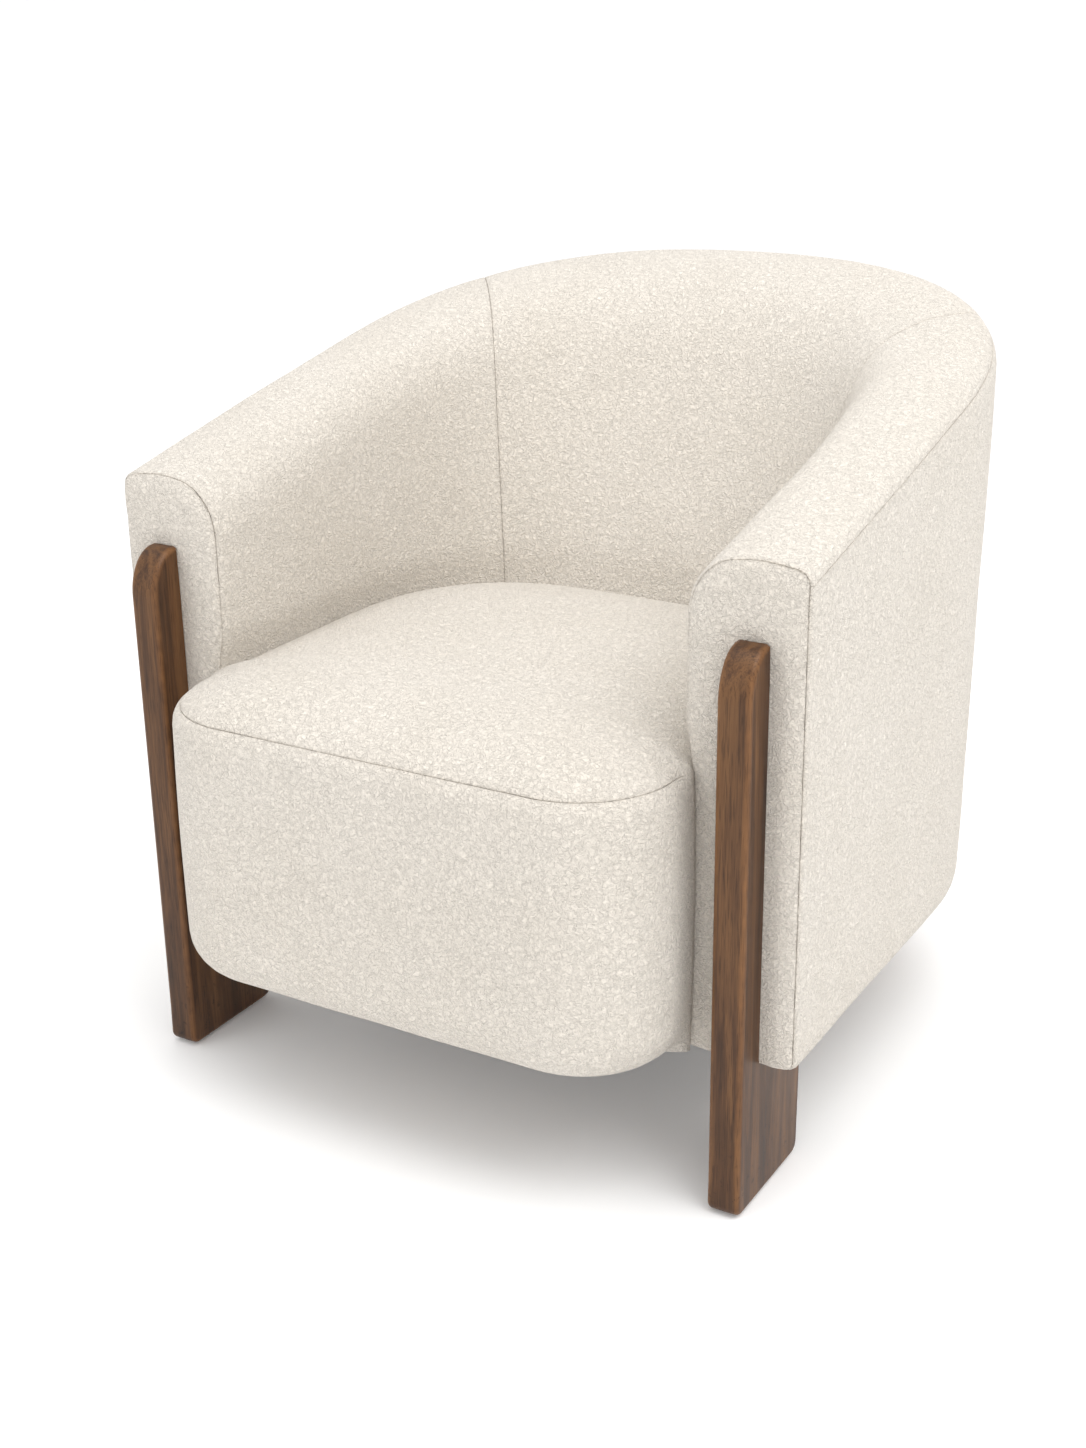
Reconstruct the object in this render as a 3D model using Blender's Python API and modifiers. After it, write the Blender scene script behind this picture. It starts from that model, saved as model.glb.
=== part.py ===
"""Upholstered tub armchair: a U-shaped padded shell, a deep tight seat and walnut plank legs.

Metres, +Z up, the chair faces -Y. The origin is on the floor, under the middle of the chair.
"""

import math

import bmesh
import bpy
from mathutils import Vector

# ---------------------------------------------------------------- overall sizes
WIDTH = 0.740  # over the outside of the arms
DEPTH = 0.855  # front of the seat to the top edge of the back
HEIGHT = 0.766  # top of the rim at the middle of the back
ARM_HEIGHT = 0.612  # top of the arms at their front
UNDERSIDE = 0.148  # floor to the underside of the upholstery
SEAT_HEIGHT = 0.420  # floor to the seam round the seat
SEAT_CROWN = 0.030  # the seat's middle stands this far above its seam

# ---------------------------------------------------------------- plan of the shell
RIM_WIDTH = 0.110  # arm and back thickness at the top
BACK_ROUND = 0.365  # length of the rounded part of the outside, from its centre to the back
BACK_POWER = 2.37  # how square the round back is: 2 is an ellipse
BACK_LEAN = 0.090  # the outside back comes forward by this share of the height below the rim
SEAT_BACK_SET = 0.307  # the inside back at seat height, in front of the back's top edge
SEAT_ROUND = 0.258  # length of the rounded rear of the seat
SEAT_POWER = 2.70
RIM_OUTER_RADIUS = 0.014
RIM_INNER_RADIUS = 0.032
SEAM_DROP = 0.010  # the rim seam lies this far below the rim
CORNER_SEAM_ANGLE = math.radians(54)  # where the inside arm cover meets the inside back cover
BACK_POST_ANGLES = (math.radians(60), math.radians(67))

# ---------------------------------------------------------------- seat front
SEAT_PROUD = 0.090  # the seat stands this far in front of the leg posts
SEAT_FLARE = 0.009  # and is this much wider, each side, than the space between the arms
SEAT_CORNER = 0.100  # plan radius of its front corners
APRON_RADIUS = 0.050  # radius of its bottom edge
APRON_DROP = 0.006  # it hangs this far below the arms
SEAT_GAP = 0.0010  # between the seat and the arms

# ---------------------------------------------------------------- legs
LEG_THICK = 0.0323
LEG_SET = 0.0339  # outside of the arm to the outside of the leg
POST_PROUD = 0.0387  # the post stands this far in front of the arm
POST_HEIGHT = 0.548
FOOT_DEPTH = 0.135
LEG_ROUND = 0.006  # radius of the planks' long edges
FOOT_CHAMFER = 0.010  # lower corners of the foot
POST_TOP_RISE = 0.046  # the top of the post curves back to the arm over this much of its height
POST_TOP_FLAT = 0.0043  # flat left at its top, against the arm
REAR_LEG_SPACING = 0.400
REAR_LEG_DEPTH = 0.110
REAR_LEG_SET = 0.1215  # back's top edge to the rear of the leg
GLIDE_RADIUS = 0.011
GLIDE_THICK = 0.0020
GLIDE_SET = 0.030  # end of the foot to the middle of its glide
BOLT_RADIUS = 0.0040
BOLT_HEAD_RADIUS = 0.0075
BOLT_HEAD = 0.0040
BOLT_REACH = 0.022  # length of a bolt inside the leg
UPPER_BOLT_HEIGHT = 0.480
LOWER_BOLT_HEIGHT = 0.330
FOOT_BOLT_SET = 0.030  # rear end of the foot to its bolt

# ---------------------------------------------------------------- layers
GAP = 0.0004  # between pieces that touch
COVER = 0.0025  # fabric with its backing
PANEL = 0.0050  # outside plywood
RIM_PAD = 0.028  # foam on top of the rim rail
INSIDE_PAD = 0.0450  # foam on the inside of the arms and back
FRONT_PAD = 0.0080  # foam on the arm fronts
PANEL_DEPTH = COVER + GAP  # how deep each outside layer starts
FRAME_DEPTH = PANEL_DEPTH + PANEL + GAP
PAD_DEPTH = COVER + GAP

# ---------------------------------------------------------------- frame
RAIL_HEIGHT = 0.127  # base rails
FRONT_RAIL = 0.025
REAR_RAIL = 0.025
TOP_RAIL = 0.020
ARM_POST = 0.030
BACK_POST = 0.030
BASE_BOARD = 0.018
BASE_BOARD_LENGTH = 0.345  # from the back's top edge to the front of the board
APRON_PAD = 0.055  # foam behind the seat's front cover
APRON_PANEL = 0.012
DECK = 0.008
RAIL_LAP = 0.100  # the side rails run this far along the board
CORNER_BLOCK = 0.060  # length of its sides and its height
CORNER_BLOCK_DROP = 0.020  # top of the rails to the top of the block
DUST_COVER = 0.0012
DUST_COVER_SET = 0.020  # clear of the rear legs
DUST_COVER_EASE = 0.003  # clear of the front legs
CUT_PAST = 0.010  # a cutter runs this far past what it cuts
SEAT_DOME = ((0.0, 0.0), (0.010, 0.38), (0.030, 0.66), (0.080, 1.0))  # inset, share of the crown
SPRING_WIRE = 0.0019
SPRING_COUNT = 4
SPRING_SPACING = 0.100
SPRING_WIDTH = 0.044
SPRING_PITCH = 0.050
RAIL_EASE = 0.0025  # room for foam between a pad and the curved frame behind it
WEBBING_EASE = 0.004  # room for the back pad to press on its webbing
WEBBING_WIDTH = 0.050
WEBBING_THICK = 0.0020
WEBBING_HEIGHTS = (0.470, 0.600)

# ---------------------------------------------------------------- places that follow from the sizes
Y_FRONT = -DEPTH / 2
Y_BACK = DEPTH / 2
Y_POST = Y_FRONT + SEAT_PROUD
Y_ARM = Y_POST + POST_PROUD
Y_FRAME = Y_ARM + COVER + FRONT_PAD + 2 * GAP
ROUND_CENTRE = Y_BACK - BACK_ROUND
SEAT_CENTRE = Y_BACK - SEAT_BACK_SET - SEAT_ROUND
RIM_SLOPE = (HEIGHT - ARM_HEIGHT) / (Y_BACK - RIM_OUTER_RADIUS - Y_ARM)
BACK_SEAM = HEIGHT + RIM_SLOPE * RIM_OUTER_RADIUS - SEAM_DROP
INSIDE_HALF = WIDTH / 2 - RIM_WIDTH
INSIDE_ROUND = BACK_ROUND - RIM_WIDTH
APRON_BOTTOM = UNDERSIDE - APRON_DROP
RAIL_TOP = UNDERSIDE + RAIL_HEIGHT
LEG_X = WIDTH / 2 - LEG_SET - LEG_THICK / 2
RAIL_INNER = LEG_X - LEG_THICK / 2
ARM_POST_INNER = INSIDE_HALF + INSIDE_PAD + GAP
ARM_BOLT_X = max(LEG_X, ARM_POST_INNER + BOLT_HEAD_RADIUS + GAP)
SEAT_BOTTOM = RAIL_TOP + DECK + 2 * GAP
PAD_BOTTOM = SEAT_BOTTOM
CORNER_ANGLES = [math.radians(a) for a in (0, 10, 18, 24, 30, 36, 42, 48, 54, 60, 67, 74, 82, 90)]

parts = bpy.data.collections.new("tub_armchair")
cutters = bpy.data.collections.new("tub_armchair_cutters")


# ================================================================ helpers
def clear_scene():
    for obj in list(bpy.data.objects):
        bpy.data.objects.remove(obj, do_unlink=True)
    for collection in (parts, cutters):
        bpy.context.scene.collection.children.link(collection)
    cutters.hide_render = True


def material(name, colour, roughness, metallic=0.0):
    made = bpy.data.materials.new(name)
    made.use_nodes = True
    shader = made.node_tree.nodes["Principled BSDF"]
    shader.inputs["Base Color"].default_value = (*colour, 1.0)
    shader.inputs["Roughness"].default_value = roughness
    shader.inputs["Metallic"].default_value = metallic
    made.diffuse_color = (*colour, 1.0)
    return made


def add_object(name, mesh, finish, collection=parts):
    obj = bpy.data.objects.new(name, mesh)
    collection.objects.link(obj)
    if finish:
        mesh.materials.append(finish)
    mesh.shade_smooth()
    mesh.set_sharp_from_angle(angle=math.radians(32))
    return obj


def face_out(bm):
    bmesh.ops.recalc_face_normals(bm, faces=bm.faces)
    if bm.calc_volume(signed=True) < 0:
        bmesh.ops.reverse_faces(bm, faces=bm.faces)
    bm.normal_update()


def split_quad(bm, a, b, c, d):
    """Two triangles, split from the first ring's high corner, so that neighbouring layers bend alike."""
    if a.co.z + d.co.z >= b.co.z + c.co.z:
        bm.faces.new((a, b, c))
        bm.faces.new((a, c, d))
    else:
        bm.faces.new((a, b, d))
        bm.faces.new((b, c, d))


def loft(name, rings, finish):
    """A solid through closed rings of points that match one to one, capped at both ends."""
    bm = bmesh.new()
    rows = [[bm.verts.new(point) for point in ring] for ring in rings]
    count = len(rows[0])
    for lower, upper in zip(rows, rows[1:]):
        for i in range(count):
            j = (i + 1) % count
            split_quad(bm, lower[i], lower[j], upper[j], upper[i])
    bm.faces.new(list(reversed(rows[0])))
    bm.faces.new(rows[-1])
    face_out(bm)
    mesh = bpy.data.meshes.new(name)
    bm.to_mesh(mesh)
    bm.free()
    return add_object(name, mesh, finish)


def box(name, low, high, finish, round_edges=0.0):
    """A block between two corners, its edges rounded where a radius is given."""
    bm = bmesh.new()
    bmesh.ops.create_cube(bm, size=1.0)
    for vert in bm.verts:
        vert.co = Vector(lo + (hi - lo) * (c + 0.5) for lo, hi, c in zip(low, high, vert.co))
    mesh = bpy.data.meshes.new(name)
    bm.to_mesh(mesh)
    bm.free()
    obj = add_object(name, mesh, finish)
    if round_edges:
        bevel = obj.modifiers.new("round_edges", "BEVEL")
        bevel.width = round_edges
        bevel.segments = 3
    return obj


def outline_solid(name, points, thickness, finish):
    """A flat outline in XY, extruded to a thickness about its own plane."""
    curve = bpy.data.curves.new(name, "CURVE")
    curve.dimensions = "2D"
    curve.fill_mode = "BOTH"
    curve.extrude = thickness / 2
    spline = curve.splines.new("POLY")
    spline.points.add(len(points) - 1)
    for point, (x, y) in zip(spline.points, points):
        point.co = (x, y, 0.0, 1.0)
    spline.use_cyclic_u = True
    curve.materials.append(finish)
    obj = bpy.data.objects.new(name, curve)
    parts.objects.link(obj)
    return obj


def cylinder(name, radius, low, high, finish, collection=parts, sides=16):
    """A round bar between two points on one axis."""
    low, high = Vector(low), Vector(high)
    bm = bmesh.new()
    bmesh.ops.create_cone(
        bm, cap_ends=True, segments=sides, radius1=radius, radius2=radius, depth=(high - low).length
    )
    mesh = bpy.data.meshes.new(name)
    bm.to_mesh(mesh)
    bm.free()
    obj = add_object(name, mesh, finish, collection)
    obj.location = (low + high) / 2
    obj.rotation_mode = "QUATERNION"
    obj.rotation_quaternion = (high - low).to_track_quat("Z", "Y")
    return obj


def drill(obj, name, radius, low, high):
    """A clearance hole through one piece."""
    cutter = cylinder(name, radius, low, high, None, cutters)
    cutter.display_type = "WIRE"
    cutter.hide_render = True
    hole = obj.modifiers.new(name, "BOOLEAN")
    hole.operation = "DIFFERENCE"
    hole.object = cutter


# ================================================================ surfaces of the shell
def on_outline(station, half_width, length, centre, power):
    """Where a station meets a plan outline with straight sides and a superellipse back.

    A station is (angle, y). With a y it lies on the straight side, else it is where a ray from the
    tub's axis, at that angle from +X, meets the outline.
    """
    angle, y = station
    if y is not None:
        return Vector((math.copysign(half_width, math.cos(angle)), y, 0.0))
    near, far = 0.0, 2 * (half_width + length + abs(centre - SEAT_CENTRE))
    for _ in range(48):
        reach = (near + far) / 2
        x = abs(reach * math.cos(angle))
        beyond = max(SEAT_CENTRE + reach * math.sin(angle) - centre, 0.0)
        if (x / half_width) ** power + (beyond / length) ** power < 1:
            near = reach
        else:
            far = reach
    return Vector((near * math.cos(angle), SEAT_CENTRE + near * math.sin(angle), 0.0))


def rim_height(y):
    return HEIGHT - RIM_SLOPE * (Y_BACK - RIM_OUTER_RADIUS - y)


def between(low, high, share, z):
    point = low.lerp(high, share)
    point.z = z
    return point


def outside(station, z, depth):
    """A point of the outside surface at a height, this deep under the fabric, straight from foot to rim."""
    foot_length = BACK_ROUND - BACK_LEAN * (BACK_SEAM - UNDERSIDE) - depth
    low = on_outline(station, WIDTH / 2 - depth, foot_length, ROUND_CENTRE, BACK_POWER)
    high = on_outline(station, WIDTH / 2 - depth, BACK_ROUND - depth, ROUND_CENTRE, BACK_POWER)
    return between(low, high, (z - UNDERSIDE) / (BACK_SEAM - UNDERSIDE), z)


def inside(station, z, depth):
    """A point of the inside surface: upright beside the seat, straight from there to the rim."""
    low = on_outline(station, INSIDE_HALF + depth, SEAT_ROUND + depth, SEAT_CENTRE, SEAT_POWER)
    high = on_outline(station, INSIDE_HALF + depth, INSIDE_ROUND + depth, ROUND_CENTRE, BACK_POWER)
    return between(low, high, max((z - SEAT_HEIGHT) / (HEIGHT - SEAT_HEIGHT), 0.0), z)


def at_rim(surface, station, depth, drop):
    """The point of a surface that lies a drop below the sloping rim."""
    z = HEIGHT
    for _ in range(6):
        z = rim_height(surface(station, z, depth).y) - drop
    return surface(station, z, depth)


def rim_points(station, depth):
    """Section over the rim, from the outside seam to the start of the inside face."""
    outer = at_rim(outside, station, depth, SEAM_DROP)
    inner = at_rim(inside, station, depth, RIM_INNER_RADIUS)
    across = inner - outer
    across.z = 0.0
    across.normalize()
    points = []
    for start, way, radius, turns in (
        (outer, across, RIM_OUTER_RADIUS - depth, (0.0, 0.5, 1.0)),
        (inner, -across, RIM_INNER_RADIUS - depth, (1.0, 0.67, 0.33, 0.0)),
    ):
        for turn in turns:
            angle = turn * math.pi / 2
            point = start + way * radius * (1 - math.cos(angle))
            point.z = rim_height(point.y) - depth - radius * (1 - math.sin(angle))
            points.append(point)
    points[0] = outer
    return points


def inside_points(station, depth, bottom, below):
    """Section down the inside face, from a drop below the rim to a height."""
    top = at_rim(inside, station, depth, below)
    heights = [top.z + (SEAT_HEIGHT - top.z) * share for share in (0.0, 0.5, 1.0)]
    return [inside(station, z, depth) for z in heights] + [inside(station, bottom, depth)]


def stations(first, last, front=None):
    """Stations round the tub between two angles, with the straight stretch to a front plane if given."""
    turns = CORNER_ANGLES + [math.pi - angle for angle in reversed(CORNER_ANGLES[:-1])]
    angles = [first] + [a for a in turns if first + 0.01 < a < last - 0.01] + [last]
    found = [(angle, None) for angle in angles]
    if front is not None and first == 0.0:
        found = [(0.0, front), (0.0, (front + SEAT_CENTRE) / 2)] + found
    if front is not None and last == math.pi:
        found = found + [(math.pi, (front + SEAT_CENTRE) / 2), (math.pi, front)]
    return found


SEAM_EASE = GAP / WIDTH  # half a seam's gap, as an angle seen from the tub's axis
SEGMENTS = {
    "right": stations(0.0, CORNER_SEAM_ANGLE - SEAM_EASE, Y_FRAME),
    "back": stations(CORNER_SEAM_ANGLE + SEAM_EASE, math.pi - CORNER_SEAM_ANGLE - SEAM_EASE),
    "left": stations(math.pi - CORNER_SEAM_ANGLE + SEAM_EASE, math.pi, Y_FRAME),
}


# ================================================================ the shell
def shell_segment(side, finishes):
    """Rim rail, outside panel, pad and inside cover of one arm or of the back."""
    place = SEGMENTS[side]
    stem = "back" if side == "back" else f"arm_{side}"
    rail_drop = RIM_PAD + GAP
    rail, panel, pad, cover = [], [], [], []
    for station in place:
        rail_inner = INSIDE_PAD + RAIL_EASE
        rail.append(
            [
                at_rim(outside, station, FRAME_DEPTH, rail_drop),
                at_rim(inside, station, rail_inner, rail_drop),
                at_rim(inside, station, rail_inner, rail_drop + TOP_RAIL),
                at_rim(outside, station, FRAME_DEPTH, rail_drop + TOP_RAIL),
            ]
        )
        panel.append(
            [
                at_rim(outside, station, PANEL_DEPTH, rail_drop),
                at_rim(outside, station, PANEL_DEPTH + PANEL, rail_drop),
                outside(station, UNDERSIDE, PANEL_DEPTH + PANEL),
                outside(station, UNDERSIDE, PANEL_DEPTH),
            ]
        )
        face = inside_points(station, PAD_DEPTH, PAD_BOTTOM, RIM_INNER_RADIUS)
        back_face = inside_points(station, INSIDE_PAD, PAD_BOTTOM, RIM_PAD)
        shoulder = at_rim(outside, station, PAD_DEPTH, RIM_PAD)
        pad.append(rim_points(station, PAD_DEPTH) + face[1:] + back_face[::-1] + [shoulder])
        skin, lining = [
            rim_points(station, depth) + inside_points(station, depth, PAD_BOTTOM, RIM_INNER_RADIUS)[1:]
            for depth in (0.0, COVER)
        ]
        cover.append(skin + lining[::-1])
    loft(f"{stem}_top_rail", rail, finishes["birch"])
    loft(f"{stem}_outside_panel", panel, finishes["plywood"])
    loft(f"{stem}_pad", pad, finishes["foam"])
    loft(f"inside_{stem}_cover", cover, finishes["fabric"])


def outside_cover(finishes):
    """One fabric wrap round the arms and the back, under the rim seam."""
    rings = []
    for station in stations(0.0, math.pi, Y_FRAME):
        rings.append(
            [
                at_rim(outside, station, 0.0, SEAM_DROP + GAP),
                at_rim(outside, station, COVER, SEAM_DROP + GAP),
                outside(station, UNDERSIDE, COVER),
                outside(station, UNDERSIDE, 0.0),
            ]
        )
    loft("outside_cover", rings, finishes["fabric"])


def arm_front(side, finishes):
    """The cover and pad on the front of one arm, the whole section of the arm."""
    angle = 0.0 if side == "right" else math.pi
    for name, near, thick, finish in (
        (f"arm_{side}_front_cover", Y_ARM, COVER, "fabric"),
        (f"arm_{side}_front_pad", Y_ARM + COVER + GAP, FRONT_PAD, "foam"),
    ):
        rings = []
        for y in (near, near + thick):
            station = (angle, y)
            foot = [inside(station, UNDERSIDE, 0.0), outside(station, UNDERSIDE, 0.0)]
            rings.append(rim_points(station, 0.0) + foot)
        loft(name, rings, finishes[finish])


def back_post(side, finishes):
    """A post behind the back pad, from the rear rail up to the top rail. The webbing lies on its front."""
    near = INSIDE_PAD + WEBBING_EASE + WEBBING_THICK + GAP
    far = near + BACK_POST
    drop = RIM_PAD + TOP_RAIL + RAIL_EASE
    strap_edges = [z + way * WEBBING_WIDTH / 2 for z in WEBBING_HEIGHTS for way in (-1, 1)]
    heights = [RAIL_TOP + GAP, SEAT_HEIGHT] + strap_edges
    rings = []
    for angle in sorted(a if side == "right" else math.pi - a for a in BACK_POST_ANGLES):
        station = (angle, None)
        up = [inside(station, z, near) for z in heights]
        down = [inside(station, z, far) for z in reversed(heights)]
        rings.append(up + [at_rim(inside, station, near, drop), at_rim(inside, station, far, drop)] + down)
    loft(f"back_post_{side}", rings, finishes["birch"])


def webbing(index, height, finishes):
    """An elastic strap across the back of the back pad."""
    rings = []
    low, high = height - WEBBING_WIDTH / 2, height + WEBBING_WIDTH / 2
    near, far = INSIDE_PAD + WEBBING_EASE, INSIDE_PAD + WEBBING_EASE + WEBBING_THICK
    for station in stations(BACK_POST_ANGLES[0], math.pi - BACK_POST_ANGLES[0]):
        rings.append(
            [
                inside(station, low, near),
                inside(station, high, near),
                inside(station, high, far),
                inside(station, low, far),
            ]
        )
    loft(f"back_webbing_{index}", rings, finishes["webbing"])


# ================================================================ the seat
def seat_outline(depth, crown=0.0):
    """Plan of the seat, this deep under its fabric and in from its edge, anticlockwise from the right."""
    inset = SEAT_GAP + depth + crown
    step = Y_ARM - SEAT_GAP - depth
    points = [Vector((INSIDE_HALF - inset, step, 0.0))]
    points += [inside(station, SEAT_HEIGHT, -inset) for station in stations(0.0, math.pi)]
    points.append(Vector((-INSIDE_HALF + inset, step, 0.0)))
    return points + front_path(depth + crown, step)[::-1]


def front_path(depth, rear):
    """The seat's front edge in plan, from the right round to the left, ending at a plane."""
    half, radius = INSIDE_HALF + SEAT_FLARE - depth, SEAT_CORNER - depth
    centre_y = Y_FRONT + SEAT_CORNER
    arc = [math.radians(-a) for a in (0, 18, 36, 54, 72, 90)]
    right = [Vector((half, rear, 0.0))]
    right += [
        Vector((half - radius + radius * math.cos(a), centre_y + radius * math.sin(a), 0.0)) for a in arc
    ]
    return right + [Vector((-p.x, p.y, 0.0)) for p in reversed(right)]


def lifted(points, z):
    return [Vector((p.x, p.y, z)) for p in points]


def seat_dome(depth):
    """Rings of the seat's crowned top, from its seam inwards."""
    rings = []
    for inset, rise in SEAT_DOME:
        rings.append(lifted(seat_outline(depth, inset), SEAT_HEIGHT + rise * SEAT_CROWN - depth))
    return rings


def seat(finishes):
    """Seat block and its top cover."""
    outer, inner = seat_dome(0.0), seat_dome(COVER)
    loft("seat_top_cover", inner[::-1] + outer, finishes["fabric"])
    foam = seat_dome(PAD_DEPTH)
    bottom = lifted(seat_outline(PAD_DEPTH), SEAT_BOTTOM)
    loft("seat_foam", [bottom] + foam, finishes["foam"])


def border_points(index, rear, depth, top):
    """Section of the seat's front, from a height down and round its bottom edge."""
    points = [lifted([front_path(depth, rear)[index]], top)[0]]
    for degrees in (0, 22.5, 45, 67.5, 90):
        angle = math.radians(degrees)
        reach = APRON_RADIUS - (APRON_RADIUS - depth) * math.cos(angle)
        z = APRON_BOTTOM + APRON_RADIUS - (APRON_RADIUS - depth) * math.sin(angle)
        points.append(lifted([front_path(reach, rear)[index]], z)[0])
    return points


def seat_front(finishes):
    """Border cover, foam, curved panel and deck of the deep seat front."""
    rear = Y_ARM - SEAT_GAP
    count = len(front_path(0.0, rear))
    panel_rear = Y_FRAME - GAP
    under = APRON_PAD + APRON_PANEL
    cover, foam, panel = [], [], []
    for i in range(count):
        skin = border_points(i, rear, 0.0, SEAT_HEIGHT - GAP - COVER)
        lining = border_points(i, rear, COVER, SEAT_HEIGHT - GAP - COVER)
        return_edge = front_path(under, rear)[i]
        tail = lifted([return_edge], APRON_BOTTOM) + lifted([return_edge], APRON_BOTTOM + COVER)
        cover.append(skin + tail + lining[::-1])
        face = border_points(i, rear, PAD_DEPTH, SEAT_BOTTOM - GAP)
        back = front_path(APRON_PAD - GAP, rear)[i]
        foam.append(face + lifted([back], APRON_BOTTOM + PAD_DEPTH) + lifted([back], SEAT_BOTTOM - GAP))
        near, far = front_path(APRON_PAD, panel_rear)[i], front_path(under, panel_rear)[i]
        low, high = APRON_BOTTOM + PAD_DEPTH, RAIL_TOP
        panel.append(
            lifted([near], low) + lifted([near], high) + lifted([far], high) + lifted([far], low)
        )
    loft("seat_border_cover", cover, finishes["fabric"])
    loft("apron_foam", foam, finishes["foam"])
    loft("apron_panel", panel, finishes["plywood"])
    deck = front_path(APRON_PAD, Y_FRAME + FRONT_RAIL / 2)
    rings = [lifted(deck, RAIL_TOP + GAP), lifted(deck, RAIL_TOP + GAP + DECK)]
    loft("front_deck", rings, finishes["plywood"])


# ================================================================ base frame
def base_frame(finishes):
    birch = finishes["birch"]
    board_front = Y_BACK - BASE_BOARD_LENGTH
    for side, sign in (("left", -1), ("right", 1)):
        inner, outer = sorted((sign * RAIL_INNER, sign * (RAIL_INNER + LEG_THICK)))
        rail = box(
            f"side_rail_{side}",
            (inner, Y_FRAME, UNDERSIDE),
            (outer, board_front + RAIL_LAP, RAIL_TOP),
            birch,
        )
        drill(
            rail,
            f"foot_bolt_hole_{side}",
            BOLT_RADIUS + GAP,
            (sign * LEG_X, foot_bolt_y(), UNDERSIDE - CUT_PAST),
            (sign * LEG_X, foot_bolt_y(), RAIL_TOP + CUT_PAST),
        )
    reach = RAIL_INNER - GAP
    box(
        "front_rail",
        (-reach, Y_FRAME, UNDERSIDE),
        (reach, Y_FRAME + FRONT_RAIL, RAIL_TOP),
        birch,
    )
    rear_rail(finishes)
    base_board(board_front, finishes)
    corner_blocks(finishes)


def rear_rail(finishes):
    """Curved rail that stands on the base board and carries the springs and the back posts."""
    near = INSIDE_PAD + GAP
    rings = []
    for station in stations(math.radians(42), math.radians(138)):
        rings.append(
            [
                inside(station, UNDERSIDE + BASE_BOARD + GAP, near),
                inside(station, RAIL_TOP, near),
                inside(station, RAIL_TOP, near + REAR_RAIL),
                inside(station, UNDERSIDE + BASE_BOARD + GAP, near + REAR_RAIL),
            ]
        )
    loft("rear_rail", rings, finishes["birch"])


def base_board(front, finishes):
    """D-shaped board across the rear of the base, inside the outside panels."""
    reach = RAIL_INNER - GAP
    rings = []
    for z in (UNDERSIDE, UNDERSIDE + BASE_BOARD):
        ring = [Vector((-reach, front, z)), Vector((reach, front, z))]
        for station in stations(0.0, math.pi):
            point = outside(station, z, FRAME_DEPTH)
            point.x = min(max(point.x, -reach), reach)
            if point.y > front + CUT_PAST:
                ring.append(point)
        rings.append(ring)
    board = loft("base_board", rings, finishes["plywood"])
    for side, sign in (("left", -1), ("right", 1)):
        x, y = sign * REAR_LEG_SPACING / 2, rear_leg_y()
        low, high = (x, y, UNDERSIDE - CUT_PAST), (x, y, UNDERSIDE + BASE_BOARD + CUT_PAST)
        drill(board, f"rear_leg_{side}_bolt_hole", BOLT_RADIUS + GAP, low, high)


def corner_blocks(finishes):
    """Triangular blocks glued behind the ends of the front rail."""
    low, high = RAIL_TOP - CORNER_BLOCK_DROP - CORNER_BLOCK, RAIL_TOP - CORNER_BLOCK_DROP
    reach = RAIL_INNER - GAP
    y = Y_FRAME + FRONT_RAIL + GAP
    for side, sign in (("left", -1), ("right", 1)):
        corner = [(sign * reach, y), (sign * (reach - CORNER_BLOCK), y), (sign * reach, y + CORNER_BLOCK)]
        rings = [[Vector((x, v, z)) for x, v in corner] for z in (low, high)]
        loft(f"corner_block_{side}", rings, finishes["birch"])


def arm_post(side, finishes):
    """The upright in the front of an arm that the leg post is bolted to."""
    sign = 1 if side == "right" else -1
    angle = 0.0 if side == "right" else math.pi
    outer = WIDTH / 2 - FRAME_DEPTH
    rings = []
    for y in (Y_FRAME, Y_FRAME + ARM_POST):
        drop = RIM_PAD + TOP_RAIL + 2 * GAP
        tops = [
            at_rim(inside, (angle, y), INSIDE_PAD + GAP, drop),
            at_rim(outside, (angle, y), FRAME_DEPTH, drop),
        ]
        feet = [Vector((sign * x, y, RAIL_TOP + GAP)) for x in (outer, ARM_POST_INNER)]
        rings.append(tops + feet)
    post = loft(f"arm_post_{side}", rings, finishes["birch"])
    drills = [
        (post, Y_FRAME - CUT_PAST, Y_FRAME + ARM_POST + CUT_PAST),
        (bpy.data.objects[f"arm_{side}_front_cover"], Y_ARM - CUT_PAST, Y_FRAME - GAP / 2),
        (bpy.data.objects[f"arm_{side}_front_pad"], Y_ARM - CUT_PAST, Y_FRAME + CUT_PAST),
    ]
    for place, z in (("upper", UPPER_BOLT_HEIGHT), ("lower", LOWER_BOLT_HEIGHT)):
        for piece, near, far in drills:
            name = f"{piece.name}_{place}_bolt_hole"
            drill(piece, name, BOLT_RADIUS + GAP, (sign * ARM_BOLT_X, near, z), (sign * ARM_BOLT_X, far, z))


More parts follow.
